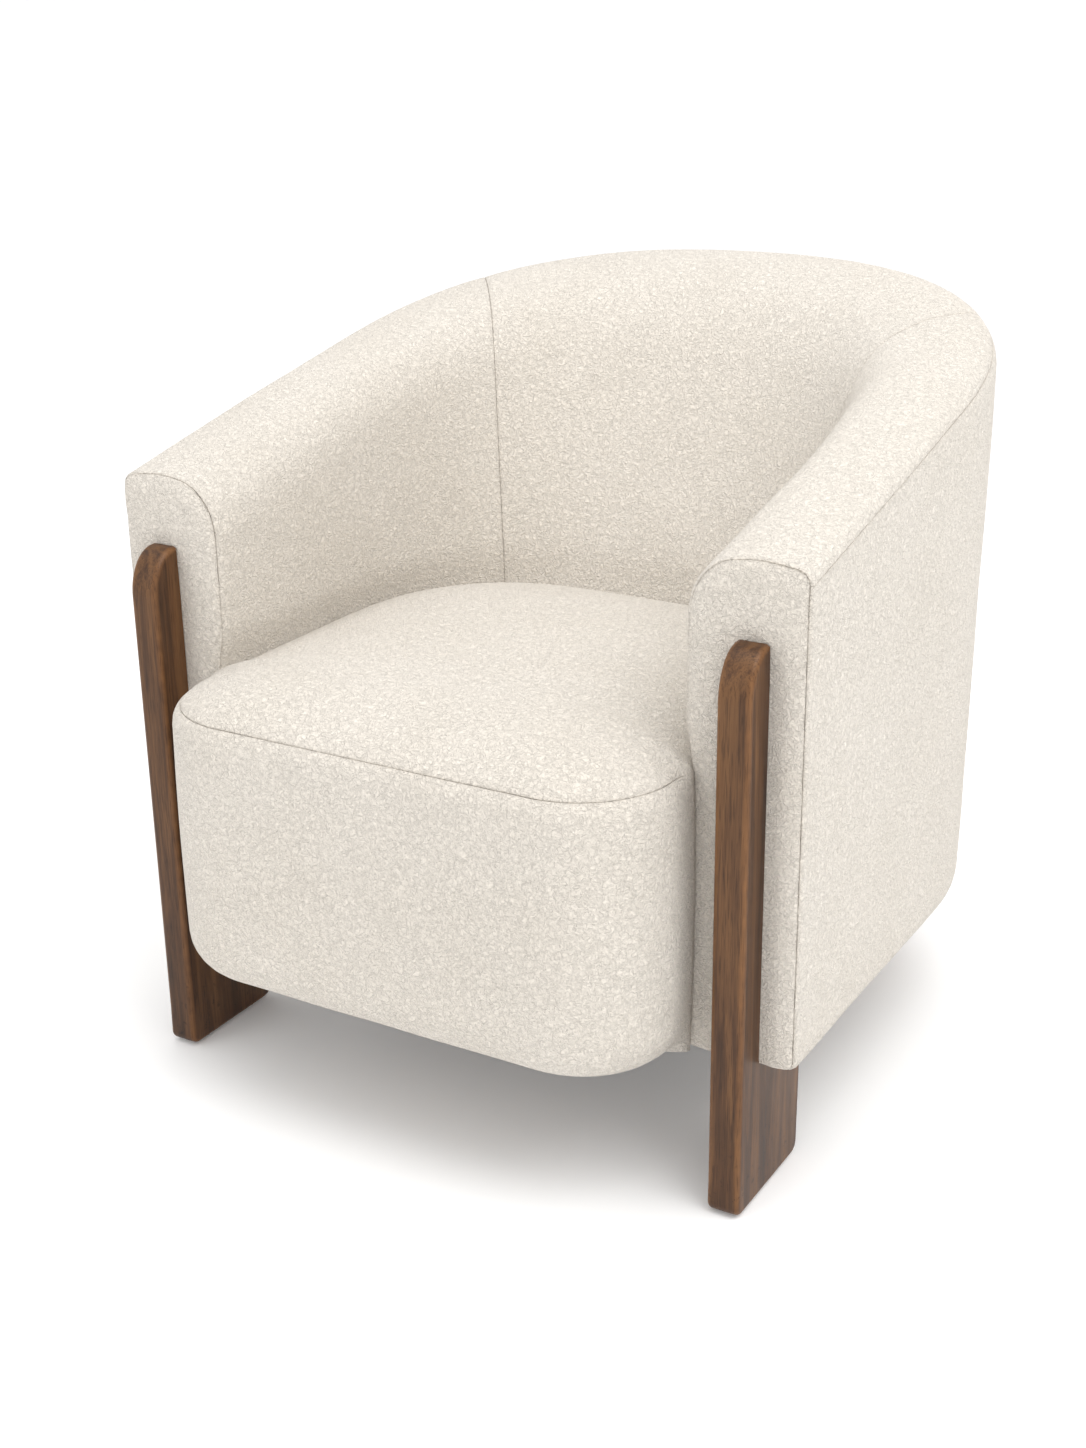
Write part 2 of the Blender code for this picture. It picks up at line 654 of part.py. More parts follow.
def springs(finishes):
    """Sinuous springs from the front rail back to the rear rail, where they end in front of the posts."""
    z = RAIL_TOP + GAP + SPRING_WIRE
    front = Y_FRAME + FRONT_RAIL / 2 + GAP + 2 * SPRING_WIRE
    hold = INSIDE_PAD + WEBBING_EASE + WEBBING_THICK
    half, length = INSIDE_HALF + hold, SEAT_ROUND + hold
    for i in range(SPRING_COUNT):
        x = (i - (SPRING_COUNT - 1) / 2) * SPRING_SPACING
        edge = abs(x) + SPRING_WIDTH / 2
        rear = SEAT_CENTRE + length * (1 - (edge / half) ** SEAT_POWER) ** (1 / SEAT_POWER) - SPRING_WIRE
        waves = max(2, round((rear - front) / SPRING_PITCH))
        steps = waves * 6
        curve = bpy.data.curves.new(f"seat_spring_{i + 1}", "CURVE")
        curve.dimensions = "3D"
        curve.bevel_depth = SPRING_WIRE
        curve.bevel_resolution = 0
        curve.use_fill_caps = True
        spline = curve.splines.new("POLY")
        spline.points.add(steps)
        for k, point in enumerate(spline.points):
            turn = 2 * math.pi * waves * k / steps
            sway = SPRING_WIDTH / 2 * max(-0.9, min(0.9, 1.15 * math.sin(turn)))
            point.co = (x + sway, front + (rear - front) * k / steps, z, 1.0)
        curve.materials.append(finishes["spring"])
        obj = bpy.data.objects.new(curve.name, curve)
        parts.objects.link(obj)


def dust_cover(finishes):
    reach = RAIL_INNER - DUST_COVER_EASE
    top = UNDERSIDE - GAP
    rear = Y_BACK - REAR_LEG_SET - REAR_LEG_DEPTH - DUST_COVER_SET
    box(
        "dust_cover",
        (-reach, Y_FRAME + FRONT_RAIL / 2, top - DUST_COVER),
        (reach, rear, top),
        finishes["dust_cloth"],
    )


# ================================================================ legs
def foot_bolt_y():
    return Y_POST + FOOT_DEPTH - FOOT_BOLT_SET


def rear_leg_y():
    return Y_BACK - REAR_LEG_SET - REAR_LEG_DEPTH / 2


def front_leg(side, finishes):
    """An L-shaped plank: a post in front of the arm, its top curved back to it, and a foot under the arm."""
    sign = 1 if side == "right" else -1
    depth = POST_PROUD - GAP
    foot_top = UNDERSIDE - GAP
    toe = FOOT_CHAMFER
    outline = [(toe, GLIDE_THICK), (FOOT_DEPTH - toe, GLIDE_THICK), (FOOT_DEPTH, GLIDE_THICK + toe)]
    outline += [(FOOT_DEPTH, foot_top), (depth, foot_top), (depth, POST_HEIGHT)]
    for degrees in (75, 60, 45, 30, 15, 0):
        angle = math.radians(degrees)
        y = (depth - POST_TOP_FLAT) * (1 - math.cos(angle))
        outline.append((y, POST_HEIGHT - POST_TOP_RISE * (1 - math.sin(angle))))
    outline.append((0.0, GLIDE_THICK + toe))
    name = f"front_leg_{side}"
    flat = outline_solid(name + "_flat", outline, LEG_THICK, finishes["walnut"])
    mesh = bpy.data.meshes.new_from_object(flat.evaluated_get(bpy.context.evaluated_depsgraph_get()))
    bm = bmesh.new()
    bm.from_mesh(mesh)
    bmesh.ops.remove_doubles(bm, verts=bm.verts, dist=1e-5)
    for vert in bm.verts:
        y, z, x = vert.co
        vert.co = Vector((sign * LEG_X + x, Y_POST + y, z))
    face_out(bm)
    sharp = math.radians(50)
    outer_edges = [edge for edge in bm.edges if edge.is_convex and edge.calc_face_angle() > sharp]
    bmesh.ops.bevel(bm, geom=outer_edges, offset=LEG_ROUND, segments=2, profile=0.5, affect="EDGES")
    bm.to_mesh(mesh)
    bm.free()
    bpy.data.objects.remove(flat, do_unlink=True)
    mesh.name = name
    mesh.materials.clear()
    leg = add_object(name, mesh, finishes["walnut"])
    for place, z in (("upper", UPPER_BOLT_HEIGHT), ("lower", LOWER_BOLT_HEIGHT)):
        low = (sign * ARM_BOLT_X, Y_ARM - BOLT_REACH - GAP, z)
        high = (sign * ARM_BOLT_X, Y_ARM + CUT_PAST, z)
        drill(leg, f"{name}_{place}_socket", BOLT_RADIUS + GAP, low, high)
    y = foot_bolt_y()
    low, high = (sign * LEG_X, y, UNDERSIDE - BOLT_REACH - GAP), (sign * LEG_X, y, UNDERSIDE + CUT_PAST)
    drill(leg, f"{name}_foot_socket", BOLT_RADIUS + GAP, low, high)


def rear_leg(side, finishes):
    """A plank under the base board, set in from the side."""
    sign = 1 if side == "right" else -1
    x = sign * REAR_LEG_SPACING / 2
    rear = Y_BACK - REAR_LEG_SET
    name = f"rear_leg_{side}"
    leg = box(
        name,
        (x - LEG_THICK / 2, rear - REAR_LEG_DEPTH, GLIDE_THICK),
        (x + LEG_THICK / 2, rear, UNDERSIDE - GAP),
        finishes["walnut"],
        LEG_ROUND,
    )
    low, high = (x, rear_leg_y(), UNDERSIDE - BOLT_REACH - GAP), (x, rear_leg_y(), UNDERSIDE + CUT_PAST)
    drill(leg, f"{name}_socket", BOLT_RADIUS + GAP, low, high)


def bolt(name, head, tip, finishes):
    """A round-headed bolt: the head's underside is at its first point, its tip at the second."""
    head, tip = Vector(head), Vector(tip)
    length = (head - tip).length
    profile = [
        (0.0, BOLT_HEAD),
        (BOLT_HEAD_RADIUS * 0.8, BOLT_HEAD),
        (BOLT_HEAD_RADIUS, BOLT_HEAD * 0.5),
        (BOLT_HEAD_RADIUS, 0.0),
        (BOLT_RADIUS, 0.0),
        (BOLT_RADIUS, BOLT_RADIUS / 2 - length),
        (BOLT_RADIUS / 2, -length),
        (0.0, -length),
    ]
    mesh = bpy.data.meshes.new(name)
    edges = [(i, i + 1) for i in range(len(profile) - 1)]
    mesh.from_pydata([(x, 0.0, z) for x, z in profile], edges, [])
    obj = add_object(name, mesh, finishes["steel"])
    screw = obj.modifiers.new("turn", "SCREW")
    screw.steps = screw.render_steps = 14
    screw.use_merge_vertices = True
    screw.merge_threshold = 0.00005
    obj.location = head
    obj.rotation_mode = "QUATERNION"
    obj.rotation_quaternion = (head - tip).to_track_quat("Z", "Y")
    return obj


def fixings(finishes):
    """Leg bolts and the glides under the feet."""
    rear_face = Y_FRAME + ARM_POST + GAP
    for side, sign in (("left", -1), ("right", 1)):
        x = sign * ARM_BOLT_X
        for place, z in (("upper", UPPER_BOLT_HEIGHT), ("lower", LOWER_BOLT_HEIGHT)):
            tip = (x, Y_ARM - BOLT_REACH, z)
            bolt(f"leg_bolt_{side}_{place}", (x, rear_face, z), tip, finishes)
        x = sign * LEG_X
        y = foot_bolt_y()
        tip = (x, y, UNDERSIDE - BOLT_REACH)
        bolt(f"leg_bolt_{side}_foot", (x, y, RAIL_TOP + GAP), tip, finishes)
        x = sign * REAR_LEG_SPACING / 2
        y = rear_leg_y()
        head = (x, y, UNDERSIDE + BASE_BOARD + GAP)
        bolt(f"rear_leg_bolt_{side}", head, (x, y, UNDERSIDE - BOLT_REACH), finishes)
        spots = (
            ("front_toe", sign * LEG_X, Y_POST + GLIDE_SET),
            ("front_heel", sign * LEG_X, Y_POST + FOOT_DEPTH - GLIDE_SET),
            ("rear", x, y),
        )
        for place, spot_x, spot_y in spots:
            low, high = (spot_x, spot_y, 0.0), (spot_x, spot_y, GLIDE_THICK - GAP)
            cylinder(f"glide_{side}_{place}", GLIDE_RADIUS, low, high, finishes["nylon"])


# ================================================================ build
def main():
    clear_scene()
    finishes = {
        "fabric": material("boucle_fabric", (0.80, 0.74, 0.64), 0.95),
        "walnut": material("walnut", (0.095, 0.045, 0.022), 0.45),
        "birch": material("birch", (0.58, 0.42, 0.26), 0.6),
        "plywood": material("plywood", (0.62, 0.46, 0.29), 0.6),
        "foam": material("foam", (0.85, 0.80, 0.62), 0.9),
        "spring": material("spring_steel", (0.10, 0.10, 0.11), 0.4, 1.0),
        "steel": material("zinc_steel", (0.62, 0.62, 0.64), 0.3, 1.0),
        "webbing": material("webbing", (0.12, 0.10, 0.09), 0.8),
        "dust_cloth": material("dust_cloth", (0.05, 0.05, 0.05), 0.9),
        "nylon": material("nylon", (0.06, 0.05, 0.045), 0.5),
    }
    for side in SEGMENTS:
        shell_segment(side, finishes)
    outside_cover(finishes)
    for side in ("left", "right"):
        arm_front(side, finishes)
        arm_post(side, finishes)
        back_post(side, finishes)
        front_leg(side, finishes)
        rear_leg(side, finishes)
    for index, height in enumerate(WEBBING_HEIGHTS, start=1):
        webbing(index, height, finishes)
    seat(finishes)
    seat_front(finishes)
    base_frame(finishes)
    springs(finishes)
    dust_cover(finishes)
    fixings(finishes)


main()
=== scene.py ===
"""Looks of the upholstered tub armchair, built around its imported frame.

Metres, +Z up, the chair faces -Y. A surface is a grid of points, rows along u and columns along s. Its
normal is du x ds and points out of the upholstery, and every cover is made a closed solid by giving the
grid a thickness. Seams are sewn in last, as grooves along the grid's edges.
"""

import math

import bmesh
import bpy
import numpy as np
from mathutils import Matrix, Vector, noise
from mathutils.kdtree import KDTree


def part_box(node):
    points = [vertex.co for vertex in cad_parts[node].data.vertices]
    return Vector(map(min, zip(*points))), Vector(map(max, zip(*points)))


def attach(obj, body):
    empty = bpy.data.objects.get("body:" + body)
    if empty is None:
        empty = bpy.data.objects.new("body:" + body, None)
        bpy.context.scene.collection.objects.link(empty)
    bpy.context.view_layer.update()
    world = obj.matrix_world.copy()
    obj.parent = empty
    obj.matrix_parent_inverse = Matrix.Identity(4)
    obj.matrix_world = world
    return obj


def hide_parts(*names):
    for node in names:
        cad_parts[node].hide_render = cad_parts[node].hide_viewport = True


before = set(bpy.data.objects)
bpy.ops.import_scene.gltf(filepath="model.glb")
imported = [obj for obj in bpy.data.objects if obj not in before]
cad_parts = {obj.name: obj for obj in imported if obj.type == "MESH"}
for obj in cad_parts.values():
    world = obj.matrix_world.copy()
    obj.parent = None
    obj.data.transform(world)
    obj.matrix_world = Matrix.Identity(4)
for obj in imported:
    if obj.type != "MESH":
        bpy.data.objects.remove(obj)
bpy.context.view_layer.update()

# ---- places, from the frame
WRAP_LOW, WRAP_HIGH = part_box("outside_cover")
ARM_LOW, ARM_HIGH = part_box("arm_right_front_cover")
BACK_LOW, BACK_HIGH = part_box("inside_back_cover")
SEAT_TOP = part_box("seat_top_cover")[1]
APRON_LOW, APRON_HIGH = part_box("seat_border_cover")
LEG_LOW, LEG_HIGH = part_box("front_leg_right")
HEEL_LOW, HEEL_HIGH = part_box("rear_leg_right")
DUST_LOW, DUST_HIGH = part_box("dust_cover")

HALF_WIDTH = WRAP_HIGH.x
Y_BACK = WRAP_HIGH.y
Y_ARM = ARM_LOW.y
UNDERSIDE = WRAP_LOW.z
HEIGHT = BACK_HIGH.z
ARM_HEIGHT = ARM_HIGH.z
INSIDE_HALF = ARM_LOW.x
SEAM_HEIGHT = APRON_HIGH.z + 0.003
APRON_BOTTOM = APRON_LOW.z - 0.0012
Y_FRONT = APRON_LOW.y
APRON_HALF = APRON_HIGH.x
PAD_BOTTOM = BACK_LOW.z
SEAT_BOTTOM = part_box("seat_foam")[0].z

# ---- shape of the shell
BACK_ROUND = 0.365  # length of the rounded part of the outside
BACK_POWER = 2.37
FOOT_LEAN = 0.095  # the outside comes forward by this share of the height below the rim
SEAT_BACK_SET = 0.307
SEAT_ROUND = 0.258
SEAT_POWER = 2.70
RIM_WIDTH = HALF_WIDTH - INSIDE_HALF
ROUND_CENTRE = Y_BACK - BACK_ROUND
AXIS_Y = Y_BACK - SEAT_BACK_SET - SEAT_ROUND
RIM_TOP_Y = Y_BACK - 0.014  # where the sloping rim reaches its full height
RIM_SLOPE = (HEIGHT - ARM_HEIGHT) / (RIM_TOP_Y - Y_ARM)
RIM_SEAM_DROP = 0.0135
SEAM_TOP = HEIGHT - RIM_SEAM_DROP
OUTER_ROUND = (0.014, 0.030)  # rounding of the rim's outer edge at the arms and at the back
INNER_ROUND = (0.038, 0.040)  # and of its inner edge
FRONT_ROUND = 0.0075  # radius of the edges round the front of an arm
INNER_FRONT_ROUND = 0.012  # and of its inner upright edge
BOTTOM_RETURN = 0.031  # the outside cover folds under the frame by this much
CORNER_SEAM = math.radians(54)  # where the arm's inside cover meets the back's
INSIDE_SWELL = 0.0065  # the inside faces stand this far proud of the frame's, over the seat
RIM_CROWN = 0.0055  # and the rim this far, fading over the width below
RIM_CROWN_WIDTH = 0.034
WRAP_THICK = 0.0025
PAD_THICK = 0.024  # foam and cover of the inside pads and the rim
PAD_EDGE = 0.0055  # and beside their seams
TUCK = 0.030  # the arm front's cover goes in behind the seat, low down
PANEL_PAD = 0.0085  # on the arm fronts
OUTSIDE_SWELL = 0.0006
FRONT_PILLOW = 0.0022  # the arm fronts swell this much between their edges and the leg posts

# ---- shape of the seat
SEAT_CORNER = 0.100  # plan radius of the front corners
SEAT_GAP = 0.001
APRON_ROUND = 0.043  # radius of the bottom edge
SEAT_CROWN = SEAT_TOP.z - SEAM_HEIGHT - 0.002
EDGE_ROLL = 0.024  # the seat's border rolls in to its top seam
EDGE_TURN = math.radians(46)
SEAT_DOME_REACH = 0.16  # the seat rises to its crown over this distance from its seam
SEAT_EDGE_RISE, SEAT_EDGE_REACH = 0.0050, 0.011  # and starts with a steep shoulder
SEAT_REAR_SINK = 0.004  # it lies lower towards the back
SEAT_MIDDLE = (-0.26, -0.06)  # ends of the line along y that its columns run to
BORDER_THICK = 0.0032
BORDER_SWELL = 0.0022
BORDER_TUCK = 0.0215  # the seat's border goes in between the arms by this much

# ---- legs and dust sheet
LEG_FRONT_ROUND = 0.0060  # radii of a front leg's long edges, in front and at the sides
LEG_SIDE_ROUND = 0.005
TOE_ROUND = 0.010  # of its corners on the floor
HEEL_ROUND = 0.012
TOP_ROUND = 0.002
POST_TOP_RISE = 0.046  # the post curves back to the arm over this height
LEG_STEP = 0.012
SHEET_STEP = 0.010
SHEET_THICK, HEM_THICK, HEM_WIDTH = 0.0008, 0.0006, 0.012
SHEET_SAG = 0.0009

# ---- sewing
SEAM_RADIUS = 0.0013  # the fabric rolls into a seam with this radius
SEAM_GAP = 0.00004
PULL_DEPTH = 0.0006  # and the filling is pulled in beside it
PULL_REACH = 0.011
RIDGE = 0.0003  # and its edges stand up a little on both sides
RIDGE_PLACE, RIDGE_WIDTH = 0.0045, 0.0022
PUCKERS = ((0.017, 0.00042), (0.006, 0.00018))  # size and depth of the creases along a seam
PUCKER_REACH = 0.010
SLACK_SIZE, SLACK_DEPTH, SLACK_REACH = 0.085, 0.0007, 0.05  # faint waves away from the seams
SEAM_SHADE_REACH = 0.010  # the material paints shade this near a seam

# ---- points of the grids
SECTION_POINTS, CONTOUR_POINTS = 420, 600  # of a section of the tub, and of the contour of an arm's front
INSIDE_RADIUS = 0.36  # mean radii of the tub, to space the grids' points with
OUTSIDE_RADIUS = 0.42
INSIDE_ROWS, OUTSIDE_ROWS, SEAT_ROWS = 60, 74, 32  # points along a section, away from its seams
BORDER_COLUMNS = OUTLINE_POINTS = 150
# distances from a seam of the first points beside it
STEPS_BY_SEAM = (0.0, 0.0002, 0.0005, 0.0009, 0.0014, 0.0024, 0.0038, 0.0058, 0.009, 0.013)
STEP = 0.0075  # and of all the others from each other
ROUNDING_POINTS = 14

# ---- cloth simulation
SWELL_MOST = 0.0030  # limit on what the cloth simulation adds
CLOTH_VOXEL = 0.0065
CLOTH_FRAMES = 20
CLOTH_SETTINGS = {
    "quality": 5,
    "mass": 0.3,
    "tension_stiffness": 40,
    "compression_stiffness": 40,
    "shear_stiffness": 20,
    "bending_stiffness": 2.0,
    "use_pressure": True,
    "uniform_pressure_force": 4.0,
}


# ==== numbers
def smooth(share):
    share = np.clip(share, 0.0, 1.0)
    return share * share * (3.0 - 2.0 * share)


def graded(total, fine_start, fine_end, step=STEP):
    """Distances from 0 to total, close together where the grid ends at a seam."""
    fine = np.array(STEPS_BY_SEAM)
    first = fine if fine_start else np.array([0.0])
    last = total - fine[::-1] if fine_end else np.array([total])
    count = max(2, int(round((last[0] - first[-1]) / step)))
    middle = np.linspace(first[-1], last[0], count + 1)[1:-1]
    return np.concatenate([first, middle, last])


def rounded(corners, reaches):
    """A polyline whose inner corners are arcs, each starting the given distance from its corner."""
    points = [np.array(corners[0], float)]
    for before, corner, after, reach in zip(corners, corners[1:], corners[2:], reaches):
        before, corner, after = (np.array(p, float) for p in (before, corner, after))
        back = (before - corner) / np.linalg.norm(before - corner)
        ahead = (after - corner) / np.linalg.norm(after - corner)
        weight = math.sqrt(max(0.0, (1 - float(back @ ahead)) / 2))
        start, end = corner + back * reach, corner + ahead * reach
        for t in np.linspace(0, 1, ROUNDING_POINTS):
            parts = ((1 - t) ** 2, 2 * weight * t * (1 - t), t * t)
            points.append((parts[0] * start + parts[1] * corner + parts[2] * end) / sum(parts))
    points.append(np.array(corners[-1], float))
    return np.array(points)


def lengths_of(line):
    return np.concatenate([[0.0], np.cumsum(np.linalg.norm(np.diff(line, axis=0), axis=1))])


def along(line, places):
    """Points of a polyline at distances from its start."""
    length = lengths_of(line)
    return np.stack([np.interp(places, length, line[:, k]) for k in range(line.shape[1])], axis=1)


def evenly(line, count):
    return along(line, np.linspace(0, lengths_of(line)[-1], count))


def outward(line):
    """Unit normals of a section, to the right of its run."""
    tangent = np.gradient(line, axis=0)
    tangent /= np.maximum(np.linalg.norm(tangent, axis=1, keepdims=True), 1e-9)
    return np.stack([tangent[:, 1], -tangent[:, 0]], axis=1)


def tree_of(points):
    tree = KDTree(len(points))
    for k, point in enumerate(points):
        tree.insert(point, k)
    tree.balance()
    return tree


def normals_of(grid, loop=False):
    """Unit normals of a grid of points, as du x ds."""
    if loop:
        du = np.roll(grid, -1, axis=0) - np.roll(grid, 1, axis=0)
    else:
        du = np.gradient(grid, axis=0)
    ds = np.gradient(grid, axis=1)
    cross = np.cross(du, ds)
    return cross / np.maximum(np.linalg.norm(cross, axis=2, keepdims=True), 1e-12)


def run_from_start(grid):
    """Distance of each point from the grid's first row, along its own column."""
    steps = np.linalg.norm(np.diff(grid, axis=0), axis=2)
    return np.concatenate([np.zeros((1, grid.shape[1])), np.cumsum(steps, axis=0)])


def ripple(points, size, seed):
    """Smooth noise between -1 and 1 at each point, with features of this size."""
    flat = points.reshape(-1, 3) / size + seed
    return np.array([noise.noise(Vector(p)) for p in flat]).reshape(points.shape[:-1])


# ==== meshes
def solid_from_grid(name, outer, inner, loop=False, closed=False):
    """A closed solid between an outer and an inner grid that match point to point."""
    rows, columns = outer.shape[:2]
    index = np.arange(rows * columns).reshape(rows, columns)
    below = index + rows * columns
    row_next = np.roll(index, -1, axis=0) if loop else index[1:]
    low_next = np.roll(below, -1, axis=0) if loop else below[1:]
    near, far = (index, below) if loop else (index[:-1], below[:-1])
    quads = [
        (near[:, :-1], row_next[:, :-1], row_next[:, 1:], near[:, 1:]),
        (far[:, :-1], far[:, 1:], low_next[:, 1:], low_next[:, :-1]),
        (near[:, :1], far[:, :1], low_next[:, :1], row_next[:, :1]),
    ]
    if not closed:
        quads.append((near[:, -1:], row_next[:, -1:], low_next[:, -1:], far[:, -1:]))
    if not loop:
        quads.append((index[0, :-1], index[0, 1:], below[0, 1:], below[0, :-1]))
        quads.append((index[-1, :-1], below[-1, :-1], below[-1, 1:], index[-1, 1:]))
    faces = np.concatenate([np.stack(corners, axis=-1).reshape(-1, 4) for corners in quads])
    points = np.concatenate([outer.reshape(-1, 3), inner.reshape(-1, 3)])
    return mesh_object(name, points, faces.tolist())


def mesh_object(name, points, faces):
    mesh = bpy.data.meshes.new(name)
    mesh.from_pydata([tuple(map(float, p)) for p in points], [], faces)
    bm = bmesh.new()
    bm.from_mesh(mesh)
    bmesh.ops.remove_doubles(bm, verts=bm.verts, dist=1e-6)
    bmesh.ops.dissolve_degenerate(bm, dist=1e-6, edges=bm.edges)
    bmesh.ops.recalc_face_normals(bm, faces=bm.faces)
    if bm.calc_volume(signed=True) < 0 and all(edge.is_manifold for edge in bm.edges):
        bmesh.ops.reverse_faces(bm, faces=bm.faces)
    bm.to_mesh(mesh)
    bm.free()
    mesh.shade_smooth()
    mesh.set_sharp_from_angle(angle=math.radians(50))
    obj = bpy.data.objects.new(name, mesh)
    bpy.context.scene.collection.objects.link(obj)
    return obj


def mirrored(grid):
    """The same surface on the other side, its rows turned round to keep its normals out."""
    turned = grid[::-1].copy()
    turned[..., 0] *= -1
    return turned


# ==== sewing
def groove(distance):
    """Depth of the fabric under its smooth surface, this far from a seam."""
    into = np.clip(1 - distance / SEAM_RADIUS, 0.0, 1.0)
    roll = SEAM_RADIUS * (1 - np.sqrt(1 - into * into))
    pull = PULL_DEPTH * np.exp(-((distance / PULL_REACH) ** 2))
    lift = RIDGE * np.exp(-(((distance - RIDGE_PLACE) / RIDGE_WIDTH) ** 2))
    return roll + pull - lift


def sewn(grid, normals, distances, seed, firm=1.0):
    """The grid with its seams sewn in: a groove at each, and small puckers along it."""
    depth = np.zeros(grid.shape[:2])
    near = np.full(grid.shape[:2], 1.0)
    for distance in distances:
        depth = np.maximum(depth, groove(distance) * firm)
        near = np.minimum(near, distance)
    (broad, deep), (fine, shallow) = PUCKERS
    pucker = ripple(grid, broad, seed) * deep + ripple(grid, fine, seed + 9) * shallow
    depth = depth + pucker * np.exp(-((near / PUCKER_REACH) ** 2))
    loose = ripple(grid, SLACK_SIZE, seed + 4) * SLACK_DEPTH * smooth(near / SLACK_REACH)
    return grid + normals * (loose - depth)[..., None]


# ==== plan outlines of the tub
def reach_of(angles, half, length, centre, power):
    """How far rays from the tub's axis go before they meet an outline with a superellipse back."""
    near = np.zeros_like(angles)
    far = np.full_like(angles, 2.0)
    for _ in range(48):
        middle = (near + far) / 2
        across = np.abs(middle * np.cos(angles)) / half
        beyond = np.maximum(AXIS_Y + middle * np.sin(angles) - centre, 0.0) / length
        inside = across**power + beyond**power < 1
        near, far = np.where(inside, middle, near), np.where(inside, far, middle)
    return near


class Stations:
    """Upright planes round the tub, each with the outline's reach at its foot, seat and rim."""

    def __init__(self, angles, straight_right=(), straight_left=()):
        angles = np.asarray(angles, float)
        right, left = np.asarray(straight_right, float), np.asarray(straight_left, float)
        count = len(right) + len(angles) + len(left)
        self.base_y = np.concatenate([right, np.full(len(angles), AXIS_Y), left])
        self.angle = np.concatenate([np.zeros(len(right)), angles, np.full(len(left), math.pi)])
        self.ray = np.stack([np.cos(self.angle), np.sin(self.angle)], axis=1)
        curved = slice(len(right), len(right) + len(angles))
        foot = BACK_ROUND - FOOT_LEAN * (SEAM_TOP - UNDERSIDE)
        self.reach = {}
        for key, half, length, centre, power in (
            ("foot", HALF_WIDTH, foot, ROUND_CENTRE, BACK_POWER),
            ("rim_out", HALF_WIDTH, BACK_ROUND, ROUND_CENTRE, BACK_POWER),
            ("seat", INSIDE_HALF, SEAT_ROUND, AXIS_Y, SEAT_POWER),
            ("rim_in", INSIDE_HALF, BACK_ROUND - RIM_WIDTH, ROUND_CENTRE, BACK_POWER),
        ):
            values = np.full(count, half)
            values[curved] = reach_of(angles, half, length, centre, power)
            self.reach[key] = values

    def __len__(self):
        return len(self.base_y)

    def place(self, k, section):
        """Points of a section, given as (reach, height), in space."""
        x = section[:, 0] * self.ray[k, 0]
        y = self.base_y[k] + section[:, 0] * self.ray[k, 1]
        return np.stack([x, y, section[:, 1]], axis=1)

    @staticmethod
    def filled(line, level, slope):
        """The section with its filling proud of the frame's pads: above the seat, and along the rim."""
        line = evenly(line, SECTION_POINTS)
        below = level + slope * line[:, 0] - line[:, 1]
        over_seat = smooth((line[:, 1] - SEAM_HEIGHT - 0.002) / 0.045) * smooth((below - 0.008) / 0.05)
        from_top = line[:, 0] - line[below < 0.004][:, 0].mean()
        rim = np.exp(-((from_top / RIM_CROWN_WIDTH) ** 2)) * smooth(1 - below / 0.03)
        out = INSIDE_SWELL * over_seat * upright(line) + RIM_CROWN * rim
        return line + outward(line) * out[:, None]

    def section(self, k):
        """A line from under the outside, over the rim, down the inside, and where the rim seam is on it."""
        foot, rim_out, seat, rim_in = (self.reach[n][k] for n in ("foot", "rim_out", "seat", "rim_in"))
        lean = (rim_out - foot) / (SEAM_TOP - UNDERSIDE)
        tilt = (rim_in - seat) / (HEIGHT - SEAM_HEIGHT)
        slope = RIM_SLOPE * self.ray[k, 1]
        level = HEIGHT - RIM_SLOPE * (RIM_TOP_Y - self.base_y[k])
        outer_x = (foot + lean * (level - UNDERSIDE)) / (1 - lean * slope)
        inner_x = (seat + tilt * (level - SEAM_HEIGHT)) / (1 - tilt * slope)
        backness = smooth(abs(self.ray[k, 1]) * 1.15)
        outer_reach = OUTER_ROUND[0] + (OUTER_ROUND[1] - OUTER_ROUND[0]) * backness
        inner_reach = INNER_ROUND[0] + (INNER_ROUND[1] - INNER_ROUND[0]) * backness
        low = UNDERSIDE - WRAP_THICK - 0.0005
        corners = [
            (foot - BOTTOM_RETURN, low),
            (foot, low),
            (outer_x, level + slope * outer_x),
            (inner_x, level + slope * inner_x),
            (seat, SEAM_HEIGHT - 0.012),
            (seat, PAD_BOTTOM),
        ]
        line = rounded(corners, (0.007, outer_reach, inner_reach, 0.012))
        line = self.filled(line, level, slope)
        length = lengths_of(line)
        below = level + slope * line[:, 0] - line[:, 1]
        first = np.flatnonzero(below < RIM_SEAM_DROP)[0]
        seam = np.interp(-RIM_SEAM_DROP, -below[first - 1 : first + 1], length[first - 1 : first + 1])
        return line, seam


def upright(line):
    """How far each point of a section is on the inside face: 0 outside and on the rim, 1 going down."""
    fall = -np.gradient(line[:, 1]) / np.maximum(np.linalg.norm(np.gradient(line, axis=0), axis=1), 1e-9)
    return smooth(fall)


def fine_angles(start, end, radius, fine_start, fine_end):
    """Angles between two, spaced by graded() on a circle of this radius."""
    return start + graded((end - start) * radius, fine_start, fine_end) / radius


def roll_in(section, turn):
    """A section drawn in as it rounds the front edge of an arm, and how far it has gone forward."""
    return section - outward(section) * (front_rounds(section) * (1 - math.cos(turn)))[:, None]


def front_rounds(section):
    """Radius of an arm's front edge at each point of its section."""
    return FRONT_ROUND + (INNER_FRONT_ROUND - FRONT_ROUND) * upright(section)


# the tub's covers round an arm's front edge by these angles, and the front panel takes up from the last
FRONT_TURNS = np.radians(np.concatenate([np.linspace(0, 30, 7)[1:], [34, 37, 39.5, 41.5, 43, 44, 44.9]]))
PANEL_TURN = math.radians(45)


